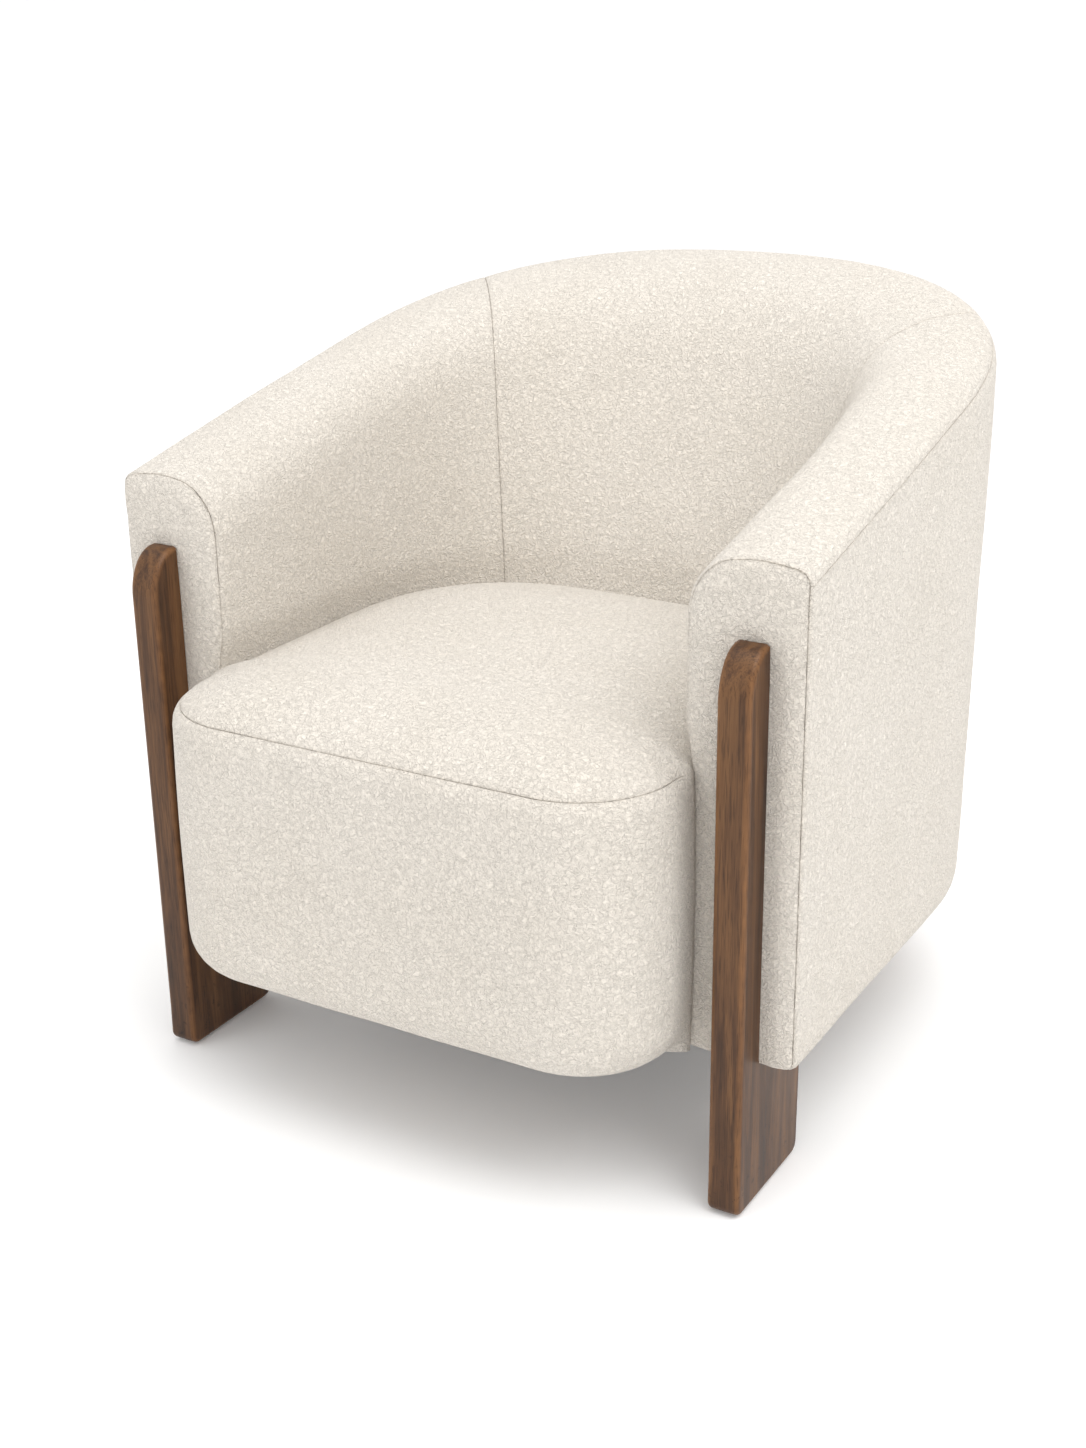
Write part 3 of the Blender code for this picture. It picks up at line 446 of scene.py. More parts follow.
def tub_grid(stations, columns, fold_front, fold_end):
    """A grid over the stations. columns() samples a section, and an end may round an arm's front."""
    rows = []
    for k in range(len(stations)):
        line, seam = stations.section(k)
        section = columns(line, seam)
        points = stations.place(k, section)
        if stations.base_y[k] < AXIS_Y:
            share = (AXIS_Y - stations.base_y[k]) / (AXIS_Y - Y_ARM - FRONT_ROUND)
            points[:, 1] += (front_rounds(section) - FRONT_ROUND) * share
        rows.append(points)
    for fold, k in ((fold_front, 0), (fold_end, len(stations) - 1)):
        if not fold:
            continue
        line, seam = stations.section(k)
        section = columns(line, seam)
        extra = []
        for turn in FRONT_TURNS:
            points = stations.place(k, roll_in(section, turn))
            points[:, 1] = Y_ARM + front_rounds(section) * (1 - math.sin(turn))
            extra.append(points)
        rows = extra[::-1] + rows if k == 0 else rows + extra
    return np.array(rows)


STRAIGHT = Y_ARM + FRONT_ROUND + graded(AXIS_Y - Y_ARM - FRONT_ROUND, False, False)
STRAIGHT_RIGHT = STRAIGHT[:-1]
STRAIGHT_LEFT = STRAIGHT[:-1][::-1]
EASE = SEAM_GAP / INSIDE_RADIUS


def inside_grid(side):
    """The cover from the rim seam, over the rim and down the inside, of an arm or of the back."""

    def columns(line, seam):
        total = lengths_of(line)[-1]
        offsets = graded(1.0, False, False, 1 / INSIDE_ROWS)
        near = np.array(STEPS_BY_SEAM)
        rest = total - seam - SEAM_GAP
        spread = near[-1] + (rest - near[-1]) * offsets
        return along(line, seam + SEAM_GAP + np.concatenate([near[:-1], spread]))

    if side == "back":
        angles = fine_angles(CORNER_SEAM + EASE, math.pi - CORNER_SEAM - EASE, INSIDE_RADIUS, True, True)
        return tub_grid(Stations(angles), columns, False, False)
    angles = fine_angles(0.0, CORNER_SEAM - EASE, INSIDE_RADIUS, False, True)
    right = tub_grid(Stations(angles, straight_right=STRAIGHT_RIGHT), columns, True, False)
    return right if side == "right" else mirrored(right)


def outside_grid():
    """The one cover round the arms and the back, from under the frame up to the rim seam."""

    def columns(line, seam):
        near = np.array(STEPS_BY_SEAM)
        offsets = graded(1.0, False, False, 1 / OUTSIDE_ROWS)
        spread = (seam - SEAM_GAP - near[-1]) * offsets
        return along(line, np.concatenate([spread, seam - SEAM_GAP - near[:-1][::-1]]))

    angles = fine_angles(0.0, math.pi, OUTSIDE_RADIUS, False, False)
    tub = Stations(angles, straight_right=STRAIGHT_RIGHT, straight_left=STRAIGHT_LEFT)
    return tub_grid(tub, columns, True, True)


# ==== swelling by cloth simulation
def simulate_swell(node, hidden):
    """Points of one CAD pad and how far each moves when it is filled. Its hidden side is held."""
    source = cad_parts[node]
    copy = bpy.data.objects.new(node + "_sim", source.data.copy())
    bpy.context.scene.collection.objects.link(copy)
    remesh = copy.modifiers.new("remesh", "REMESH")
    remesh.mode = "VOXEL"
    remesh.voxel_size = CLOTH_VOXEL
    graph = bpy.context.evaluated_depsgraph_get()
    mesh = bpy.data.meshes.new_from_object(copy.evaluated_get(graph))
    copy.modifiers.clear()
    copy.data = mesh
    before = np.array([v.co for v in mesh.vertices])
    held = hidden(before)
    group = copy.vertex_groups.new(name="held")
    for k, weight in enumerate(held):
        group.add([k], float(weight), "REPLACE")
    cloth = copy.modifiers.new("cloth", "CLOTH")
    for key, value in CLOTH_SETTINGS.items():
        setattr(cloth.settings, key, value)
    cloth.settings.vertex_group_mass = "held"
    cloth.settings.effector_weights.gravity = 0.0
    cloth.collision_settings.use_collision = False
    scene = bpy.context.scene
    for number in range(1, CLOTH_FRAMES + 1):
        scene.frame_set(number)
    done = copy.evaluated_get(bpy.context.evaluated_depsgraph_get())
    after = np.array([v.co for v in done.data.vertices])
    scene.frame_set(1)
    bpy.data.objects.remove(copy, do_unlink=True)
    moves = after - before
    largest = np.percentile(np.linalg.norm(moves, axis=1)[held < 0.1], 95)
    return before, moves * min(1.0, SWELL_MOST / largest)


def swollen(grid, normals, field, near):
    """The grid moved out by a simulated swell, along its normals, and not at its seams."""
    if field is None:
        return grid
    points, moves = field
    tree = tree_of(points)
    flat, directions = grid.reshape(-1, 3), normals.reshape(-1, 3)
    lift = np.zeros(len(flat))
    for k, point in enumerate(flat):
        found = tree.find_n(point, 10)
        weight = np.array([1.0 / (1e-5 + f[2] ** 2) for f in found])
        move = (weight[:, None] * moves[[f[1] for f in found]]).sum(0) / weight.sum()
        lift[k] = float(move @ directions[k])
    lift = np.clip(lift.reshape(grid.shape[:2]), 0.0, SWELL_MOST) * smooth(near / 0.03)
    return grid + normals * lift[..., None]


def held_back(points):
    """1 where a point of a pad is glued down, 0 on its inside face and its rim."""
    angles = np.clip(np.arctan2(points[:, 1] - AXIS_Y, np.abs(points[:, 0])), 0.0, None)
    seat = reach_of(angles, INSIDE_HALF, SEAT_ROUND, AXIS_Y, SEAT_POWER)
    rim = reach_of(angles, INSIDE_HALF, BACK_ROUND - RIM_WIDTH, ROUND_CENTRE, BACK_POWER)
    high = np.clip((points[:, 2] - SEAM_HEIGHT) / (HEIGHT - SEAM_HEIGHT), 0, 1)
    reach = np.hypot(points[:, 0], np.maximum(points[:, 1] - AXIS_Y, 0.0))
    deep = reach - (seat + (rim - seat) * high)
    below_rim = HEIGHT - RIM_SLOPE * (Y_BACK - points[:, 1]) - points[:, 2]
    return smooth((np.minimum(deep, below_rim) - 0.006) / 0.010)


def held_seat(points):
    """1 below the seat's seam, 0 on its top."""
    return 1.0 - smooth((points[:, 2] - SEAM_HEIGHT + 0.004) / 0.020)


# ==== covers
def from_edge(grid, edge):
    """Distance of each point from one edge of the grid: its first or last row or column."""
    turned = grid if edge in ("first_row", "last_row") else grid.swapaxes(0, 1)
    last = edge.startswith("last")
    run = run_from_start(turned[::-1] if last else turned)
    run = run[::-1] if last else run
    return run if edge in ("first_row", "last_row") else run.swapaxes(0, 1)


def cover(name, grid, seams, seed, thin, thick, field=None, lift=None, firm=1.0, normals=None):
    """A cover or pad under a grid: swollen, sewn along its seams, thin beside them and thick elsewhere."""
    distances = [from_edge(grid, edge) if isinstance(edge, str) else edge for edge in seams]
    base, near = grid, np.min(distances, axis=0)
    if normals is None:
        normals = normals_of(grid)
        base = grid if lift is None else grid + normals * lift[..., None]
        base = swollen(base, normals, field, near)
        normals = normals_of(base)
    outer = sewn(base, normals, distances, seed, firm)
    depth = thin + (thick - thin) * smooth((near - 0.008) / 0.06)
    depth = np.maximum(depth, groove(near) + 0.001)
    inner = base - normals * depth[..., None]
    obj = solid_from_grid(name, outer, inner)
    mark(obj, outer, near)
    return obj


def mark(obj, outer, near):
    """Stores on each vertex how close it is to a seam, for the shade the material paints beside it."""
    tree = tree_of(outer.reshape(-1, 3))
    flat = near.reshape(-1)
    values = [1.0 - min(1.0, flat[tree.find(v.co)[1]] / SEAM_SHADE_REACH) for v in obj.data.vertices]
    layer = obj.data.attributes.new("seam", "FLOAT", "POINT")
    layer.data.foreach_set("value", values)


def arm_firmness(points):
    """How tightly the seam round an arm's front is drawn: it fades out down the inner edge."""
    low = smooth((points[..., 2] - ARM_HEIGHT + 0.14) / 0.10)
    inner = 1.0 - smooth((np.abs(points[..., 0]) - INSIDE_HALF - 0.004) / 0.02)
    at_front = 1.0 - smooth((points[..., 1] - Y_ARM - 0.03) / 0.02)
    return 1.0 - (1.0 - low) * inner * at_front * 0.9


def front_panel_grid():
    """The panel on the front of the right arm, inside the seam that runs round it."""
    line, _ = Stations([], straight_right=[Y_ARM + FRONT_ROUND]).section(0)
    line = line[np.argmax(line[:, 0] > HALF_WIDTH - 0.0035) :]
    foot = line[0, 1]
    tuck = [(line[-1, 0], line[-1, 1]), (line[-1, 0], foot + 0.085), (line[-1, 0] - TUCK, foot + 0.045)]
    tuck = rounded([*tuck, (line[-1, 0] - TUCK, foot)], (0.018, 0.018))[1:]
    contour = np.concatenate([line, tuck])
    contour = evenly(contour, CONTOUR_POINTS)
    rounds = front_rounds(contour)
    contour = roll_in(contour, PANEL_TURN)
    out = outward(contour)
    contour = contour - out * 2 * SEAM_GAP
    near_top = contour[:, 1] > ARM_HEIGHT - 0.12
    length = lengths_of(contour)
    turn = np.degrees(np.arctan2(out[:, 0], -out[:, 1]))
    outer_top = length[np.argmax(near_top & (turn > 135))]
    inner_top = length[np.argmax(near_top & (turn > -135) & (turn < 0) & (length > outer_top))]
    u = graded(RIM_WIDTH, True, True)
    u = u / u[-1]
    s = graded(ARM_HEIGHT - foot, True, True)
    s = s / s[-1]
    outer = along(contour, outer_top * s)
    inner = along(contour, length[-1] + (inner_top - length[-1]) * s)
    top = along(contour, inner_top + (outer_top - inner_top) * u)
    bottom = inner[0] + (outer[0] - inner[0]) * u[:, None]
    ub, sb = u[:, None, None], s[None, :, None]
    plan = (1 - ub) * inner[None] + ub * outer[None] + (1 - sb) * bottom[:, None] + sb * top[:, None]
    plan -= (1 - ub) * (1 - sb) * inner[0] + ub * (1 - sb) * outer[0]
    plan -= (1 - ub) * sb * inner[-1] + ub * sb * outer[-1]
    gaps = np.linalg.norm(plan.reshape(-1, 1, 2) - contour[None, ::2], axis=2)
    edge = gaps.min(axis=1).reshape(plan.shape[:2])
    nearest = gaps.argmin(axis=1)
    rounds = rounds[::2][nearest].reshape(plan.shape[:2])
    out = out[::2][nearest].reshape(*plan.shape[:2], 2)
    edge[0], edge[-1], edge[:, -1] = 0.0, 0.0, 0.0
    turned = np.arccos(np.clip(math.cos(PANEL_TURN) - edge / rounds, 0.0, 1.0))
    y = Y_ARM + rounds * (1 - np.sin(turned))
    middle, half = (LEG_LOW.x + LEG_HIGH.x) / 2, (LEG_HIGH.x - LEG_LOW.x) / 2
    post = np.maximum(np.abs(plan[..., 0] - middle) - half, 0)
    over = np.maximum(plan[..., 1] - LEG_HIGH.z, 0)
    free = smooth((np.hypot(post, over) - 0.0005) / 0.014)
    beside_seat = smooth((plan[..., 0] - INSIDE_HALF - 0.012) / 0.012)
    free *= np.maximum(beside_seat, smooth((plan[..., 1] - SEAM_HEIGHT) / 0.03))
    y -= FRONT_PILLOW * smooth(edge / 0.016) * free
    out = np.cos(turned)[..., None] * out
    normals = np.stack([out[..., 0], -np.sin(turned), out[..., 1]], axis=-1)
    return np.stack([plan[..., 0], y, plan[..., 1]], axis=-1), edge, normals


def seat_half(y, inset):
    """Half the seat's width where its sides run back and in between the arms."""
    neck = INSIDE_HALF - SEAT_GAP
    between = smooth((y - Y_ARM + 0.008) / 0.024)
    drawn_in = inset * (1 - smooth((y - Y_ARM + 0.026) / 0.026))
    return APRON_HALF - (APRON_HALF - neck) * between - drawn_in


def right_edge(inset, rear):
    """The seat's edge in plan, round its right front corner and back to a rear end."""
    half, radius = APRON_HALF - inset, SEAT_CORNER - inset
    corner_y = Y_FRONT + SEAT_CORNER
    turn = np.radians(np.linspace(0, 90, 25))
    corner = np.stack([half - radius + radius * np.sin(turn), corner_y - radius * np.cos(turn)], axis=1)
    y = np.linspace(corner_y, rear, 14)[1:]
    return np.concatenate([corner, np.stack([seat_half(y, inset), y], axis=1)])


def front_path(inset, height):
    """The seat's edge in plan, from between the arms on the left, round the front, to the right."""
    rear = Y_ARM - 0.0006 + BORDER_TUCK * float(smooth((height - PAD_BOTTOM + 0.045) / 0.04))
    right = right_edge(inset, rear)
    return evenly(np.concatenate([right[::-1] * (-1, 1), right]), BORDER_COLUMNS)


def border_grid():
    """The seat's front, from under its bottom edge up to the seam round the seat."""
    inset, drop = [0.067, APRON_ROUND], [0.0, 0.0]
    for angle in np.radians(np.linspace(6, 84, 14)):
        inset.append(APRON_ROUND * (1 - math.sin(angle)))
        drop.append(APRON_ROUND * (1 - math.cos(angle)))
    top = SEAM_HEIGHT - APRON_BOTTOM
    inset += [0.0, 0.0]
    drop += [APRON_ROUND, top - EDGE_ROLL * math.sin(EDGE_TURN)]
    for angle in np.linspace(0, EDGE_TURN, 9)[1:]:
        inset.append(EDGE_ROLL * (1 - math.cos(angle)))
        drop.append(top - EDGE_ROLL * (math.sin(EDGE_TURN) - math.sin(angle)))
    section = np.stack([inset, drop], axis=1)
    section = along(section, graded(lengths_of(section)[-1], False, True))
    rows = []
    for inset, drop in section:
        height = APRON_BOTTOM + drop
        rows.append(np.column_stack([front_path(inset, height), np.full(BORDER_COLUMNS, height)]))
    return np.stack(rows, axis=1)


def border_lift(grid):
    """The border swells a little between the bottom edge and the seam."""
    share = np.clip((grid[..., 2] - APRON_BOTTOM) / (SEAM_HEIGHT - APRON_BOTTOM), 0, 1)
    return BORDER_SWELL * np.sin(math.pi * share) ** 0.8


def seat_outline():
    """Half of the seat's outline in plan, from the front round the right to the back."""
    inset = EDGE_ROLL * (1 - math.cos(EDGE_TURN)) + SEAM_GAP
    line = [(0.0, Y_FRONT + inset), *right_edge(inset, Y_ARM + BORDER_TUCK)]
    angles = np.linspace(0, math.pi / 2, 60)
    reach = reach_of(angles, INSIDE_HALF, SEAT_ROUND, AXIS_Y, SEAT_POWER) - SEAT_GAP
    line += [(r * math.cos(a), AXIS_Y + r * math.sin(a)) for r, a in zip(reach, angles)]
    line = np.array(line)
    line[-1, 0] = 0.0
    return evenly(line, OUTLINE_POINTS)


def seat_cushion(field):
    """The seat: crowned on top, sewn round its edge, flat below where it rests on springs and deck."""
    half = seat_outline()
    outline = np.concatenate([half, half[-2:0:-1] * (-1, 1)])
    middle = np.stack([np.zeros(len(outline)), np.clip(outline[:, 1], *SEAT_MIDDLE)], axis=1)
    reach = np.linalg.norm(middle - outline, axis=1)
    ahead = (middle - outline) / reach[:, None]
    near = np.array(STEPS_BY_SEAM)
    offsets = graded(1.0, False, False, 1 / SEAT_ROWS)
    runs = [np.full(len(outline), d) for d in near[:-1]]
    runs += [near[-1] + (reach - near[-1]) * f for f in offsets]
    runs = np.stack(runs, axis=1)
    plan = outline[:, None] + ahead[:, None] * runs[..., None]
    rise = SEAT_CROWN * (1 - (1 - np.minimum(runs / SEAT_DOME_REACH, 1)) ** 2.6)
    rise += SEAT_EDGE_RISE * (1 - np.exp(-runs / SEAT_EDGE_REACH))
    rise -= SEAT_REAR_SINK * smooth((plan[..., 1] + 0.05) / 0.18)
    top = np.concatenate([plan, (SEAM_HEIGHT + rise)[..., None]], axis=2)
    normals = normals_of(top, loop=True)
    if normals[:, 5:, 2].mean() < 0:
        normals = -normals
    swell = swollen(top, normals, field, runs)
    outer = sewn(swell, normals, [runs], 31)
    inward = np.concatenate([ahead, np.zeros((len(ahead), 1))], axis=1)
    mitre = outer[:, 0] + inward * 0.005 + (0, 0, -0.006)
    outer = np.concatenate([mitre[:, None], outer], axis=1)
    for y in np.unique(np.round(middle[:, 1], 6)):
        same = np.abs(middle[:, 1] - y) < 2e-6
        outer[same, -1] = (0.0, y, outer[same, -1, 2].mean())
    inner = outer.copy()
    inner[..., 2] = SEAT_BOTTOM
    obj = solid_from_grid("seat_cushion", outer, inner, loop=True, closed=True)
    runs = np.concatenate([runs[:, :1], runs], axis=1)
    mark(obj, outer, runs)
    return obj


# ==== legs and dust sheet
def plank(name, outline, radii, low_x, high_x):
    """A plank with an outline in (y, z), anticlockwise from +X, and a radius per point for its edges."""
    middle, half = (low_x + high_x) / 2, (high_x - low_x) / 2
    before, after = np.roll(outline, 1, axis=0), np.roll(outline, -1, axis=0)
    first = (outline - before) / np.linalg.norm(outline - before, axis=1, keepdims=True)
    second = (after - outline) / np.linalg.norm(after - outline, axis=1, keepdims=True)
    turned = first + second
    turned /= np.linalg.norm(turned, axis=1, keepdims=True)
    stretch = np.clip(np.sum(turned * first, axis=1), 0.5, 1.0)
    inward = np.stack([-turned[:, 1], turned[:, 0]], axis=1) / stretch[:, None]
    angles = np.radians(np.linspace(0, 90, 8))
    rings, edge_highlights = [], []
    for sign in (-1, 1):
        side = []
        for angle in angles:
            drawn = outline + inward * (radii * (1 - math.cos(angle)))[:, None]
            x = middle + sign * (half - radii * (1 - math.sin(angle)))
            # with each ring, how strongly the painted edge highlight shows: most halfway round the rounded
            # edge
            side.append((np.column_stack([x, drawn]), math.sin(2 * angle)))
        rings += side[::-1] if sign < 0 else side
    points = np.concatenate([ring for ring, _ in rings])
    edge_highlights = np.concatenate([np.full(len(outline), wear) for _, wear in rings])
    count = len(outline)
    index = np.arange(len(points)).reshape(-1, count)
    nxt = np.roll(index, -1, axis=1)
    faces = np.stack([index[:-1], nxt[:-1], nxt[1:], index[1:]], axis=-1).reshape(-1, 4).tolist()
    faces += [index[0, ::-1].tolist(), index[-1].tolist()]
    obj = mesh_object(name, points, faces)
    tree = tree_of(points)
    # the painted edge highlight's strength, kept in the attribute named wear
    layer = obj.data.attributes.new("wear", "FLOAT", "POINT")
    layer.data.foreach_set("value", [edge_highlights[tree.find(v.co)[1]] for v in obj.data.vertices])
    return obj


def refined(outline, radii):
    """A closed outline with points added on its long sides."""
    points, sizes = [], []
    for k in range(len(outline)):
        a, b = outline[k], outline[(k + 1) % len(outline)]
        count = max(1, int(np.linalg.norm(b - a) / LEG_STEP))
        for t in np.arange(count) / count:
            points.append(a + (b - a) * t)
            sizes.append(radii[k] + (radii[(k + 1) % len(outline)] - radii[k]) * t)
    return np.array(points), np.array(sizes)


def arc(centre, radius, start, end, points=7):
    """Points of a circle between two angles in degrees."""
    turns = np.radians(np.linspace(start, end, points))
    return [(centre[0] + radius * math.cos(t), centre[1] + radius * math.sin(t)) for t in turns]


def leg_faces(low, high, side):
    """The x of a right leg's two faces, or of the left leg's."""
    return (low.x, high.x) if side == "right" else (-high.x, -low.x)


def front_leg(side):
    """An L-shaped plank: a post before the arm, its top curved back to it, and a foot under the arm."""
    front, rear, low, foot_top = LEG_LOW.y, LEG_HIGH.y, LEG_LOW.z, HEEL_HIGH.z
    back, top = Y_ARM - 0.0004, LEG_HIGH.z
    outline, radii = [], []

    def add(points, radius):
        outline.extend(points)
        radii.extend([radius] * len(points))

    add(arc((front + TOE_ROUND, low + TOE_ROUND), TOE_ROUND, 180, 270), LEG_SIDE_ROUND)
    add(arc((rear - HEEL_ROUND, low + HEEL_ROUND), HEEL_ROUND, 270, 360), LEG_SIDE_ROUND)
    add(arc((rear - TOP_ROUND, foot_top - TOP_ROUND), TOP_ROUND, 0, 90, 4), 0.003)
    add([(back + 0.004, foot_top), (back + 0.001, foot_top + 0.001), (back, foot_top + 0.004)], 0.0012)
    for y, z, radius in ((0.0, -0.030, 0.0015), (0.0, -0.002, 0.003), (-0.001, 0.0, 0.0050)):
        add([(back + y, top + z)], radius)
    deep = back - 0.0043 - front
    for angle in np.radians(np.linspace(84, 0, 15)):
        y, z = front + deep * (1 - math.cos(angle)), top - POST_TOP_RISE * (1 - math.sin(angle))
        add([(y, z)], LEG_FRONT_ROUND)
    add([(front, low + TOE_ROUND + 0.03)], LEG_FRONT_ROUND)
    points, sizes = refined(np.array(outline), np.array(radii))
    return plank(f"front_leg_{side}_plank", points, sizes, *leg_faces(LEG_LOW, LEG_HIGH, side))


def rear_leg(side):
    """A plank under the base board, set in from the side."""
    front, rear, low, top = HEEL_LOW.y, HEEL_HIGH.y, HEEL_LOW.z, HEEL_HIGH.z
    outline = arc((front + TOE_ROUND, low + TOE_ROUND), TOE_ROUND, 180, 270)
    outline += arc((rear - TOE_ROUND, low + TOE_ROUND), TOE_ROUND, 270, 360)
    outline += arc((rear - TOP_ROUND, top - TOP_ROUND), TOP_ROUND, 0, 90, 4)
    outline += arc((front + TOP_ROUND, top - TOP_ROUND), TOP_ROUND, 90, 180, 4)
    radii = [LEG_SIDE_ROUND] * 14 + [0.003] * 8
    points, sizes = refined(np.array(outline), np.array(radii))
    return plank(f"rear_leg_{side}_plank", points, sizes, *leg_faces(HEEL_LOW, HEEL_HIGH, side))


def dust_sheet():
    """The black sheet stretched under the frame, its edges turned in, sagging a little between them."""
    low, high = DUST_LOW, DUST_HIGH
    u = low.x + graded(high.x - low.x, False, False, SHEET_STEP)
    v = low.y + graded(high.y - low.y, False, False, SHEET_STEP)
    x, y = np.meshgrid(u, v, indexing="ij")
    edge = np.minimum(np.minimum(x - low.x, high.x - x), np.minimum(y - low.y, high.y - y))
    hem = 1.0 - smooth((edge - HEM_WIDTH) / 0.004)
    plane = np.stack([x, y, np.zeros_like(x)], axis=-1)
    slack = ripple(plane, 0.09, 3) * 0.0004 * smooth(edge / 0.05)
    top = np.stack([x, y, high.z - 0.0002 - SHEET_SAG * smooth(edge / 0.08)], axis=-1)
    bottom = top.copy()
    bottom[..., 2] -= SHEET_THICK + HEM_THICK * hem
    shift = np.minimum(slack - 0.0002, 0.0)
    top[..., 2] += shift
    bottom[..., 2] += shift
    flat = (high.x - low.x, high.y - low.y)
    return solid_from_grid("dust_sheet", top, bottom), flat


# ==== materials
class Finish:
    """A node material, written as a few calls."""

    def __init__(self, name, roughness, **fixed):
        self.material = bpy.data.materials.new(name)
        self.material.use_nodes = True
        self.nodes, self.links = self.material.node_tree.nodes, self.material.node_tree.links
        self.shader = self.nodes["Principled BSDF"]
        for key, value in {"Roughness": roughness, **fixed}.items():
            self.shader.inputs[key.replace("_", " ")].default_value = value
        self.coords = self.add("ShaderNodeTexCoord").outputs["Object"]

    def add(self, kind, links=(), **settings):
        node = self.nodes.new(kind)
        for key, value in settings.items():
            setattr(node, key, value)
        for key, value in dict(links).items():
            if isinstance(value, bpy.types.NodeSocket):
                self.links.new(value, node.inputs[key])
            else:
                node.inputs[key].default_value = value
        return node

    def noise(self, scale, detail=3.0, roughness=0.55, distortion=0.0, at=None):
        values = {"Scale": scale, "Detail": detail, "Roughness": roughness, "Distortion": distortion}
        return self.add("ShaderNodeTexNoise", {"Vector": at or self.coords, **values}).outputs["Fac"]

    def stretched(self, scale):
        return self.add("ShaderNodeMapping", {"Vector": self.coords, "Scale": scale}).outputs["Vector"]

    def math(self, operation, *values, clamp=False):
        inputs = dict(enumerate(values))
        return self.add("ShaderNodeMath", inputs, operation=operation, use_clamp=clamp).outputs[0]

    def ramp(self, value, *stops):
        node = self.add("ShaderNodeValToRGB", {"Fac": value})
        elements = node.color_ramp.elements
        while len(elements) < len(stops):
            elements.new(0.5)
        for element, (place, colour) in zip(elements, stops):
            element.position, element.color = place, (*colour, 1.0)
        return node.outputs["Color"]

    def attribute(self, name):
        return self.add("ShaderNodeAttribute", attribute_name=name).outputs["Fac"]

    def mix(self, share, first, second, blend="MIX"):
        node = self.add("ShaderNodeMix", data_type="RGBA", blend_type=blend)
        for key, value in (("Factor", share), (6, first), (7, second)):
            socket = node.inputs[key]
            if isinstance(value, bpy.types.NodeSocket):
                self.links.new(value, socket)
            else:
                socket.default_value = value if isinstance(value, float) else (*value, 1.0)
        return node.outputs[2]

    def bump(self, height, strength, distance):
        values = {"Height": height, "Strength": strength, "Distance": distance}
        return self.add("ShaderNodeBump", values).outputs["Normal"]

    def done(self, colour, normal=None, roughness=None):
        for key, socket in (("Base Color", colour), ("Normal", normal), ("Roughness", roughness)):
            if socket is not None:
                self.links.new(socket, self.shader.inputs[key])
        return self.material


def boucle(name, tint):
    """Off-white looped wool: small curls of yarn, with shade painted between them and along the seams."""
    look = Finish(name, 0.95, Sheen_Weight=0.20, Sheen_Roughness=0.6, Specular_IOR_Level=0.15)
    warp = look.add("ShaderNodeTexNoise", {"Vector": look.coords, "Scale": 150.0, "Detail": 1.0})
    shift = look.add(
        "ShaderNodeVectorMath", {0: warp.outputs["Color"], 1: (0.5, 0.5, 0.5)}, operation="SUBTRACT"
    )
    moved = look.add("ShaderNodeVectorMath", {0: shift.outputs[0], "Scale": 0.007}, operation="SCALE")
    at = look.add("ShaderNodeVectorMath", {0: look.coords, 1: moved.outputs[0]}, operation="ADD").outputs[0]
    curl = look.noise(360.0, 1.5, 0.5, 1.3, at)
    worm = look.math("MULTIPLY_ADD", curl, 2.6, -0.8, clamp=True)
    loops = look.add("ShaderNodeTexVoronoi", {"Vector": at, "Scale": 400.0, "Randomness": 1.0})
    loop = look.math("SUBTRACT", 1.0, loops.outputs["Distance"], clamp=True)
    fibre = look.noise(1600.0, 2.0, 0.6)
    height = look.math("ADD", look.math("MULTIPLY", worm, 0.50), look.math("MULTIPLY", loop, 0.35))
    height = look.math("ADD", height, look.math("MULTIPLY", fibre, 0.20))
    seam = look.attribute("seam")
    # painted shade between the curls: the colour falls to 0.8 of the tint where the nap is low
    dark = tuple(channel * 0.80 for channel in tint)
    colour = look.ramp(height, (0.30, dark), (0.72, tint))
    broad = look.ramp(look.noise(9.0, 3.0, 0.6), (0.3, (0.965, 0.960, 0.950)), (0.7, WHITE))
    colour = look.mix(1.0, colour, broad, "MULTIPLY")
    # painted shade along the seams: the colour turns dark brown within a few millimetres of each seam
    near = look.math("MULTIPLY", look.math("POWER", seam, 4.0), 0.20)
    colour = look.mix(near, colour, (0.36, 0.31, 0.25))
    normal = look.bump(height, 0.9, 0.0025)
    return look.done(colour, normal)


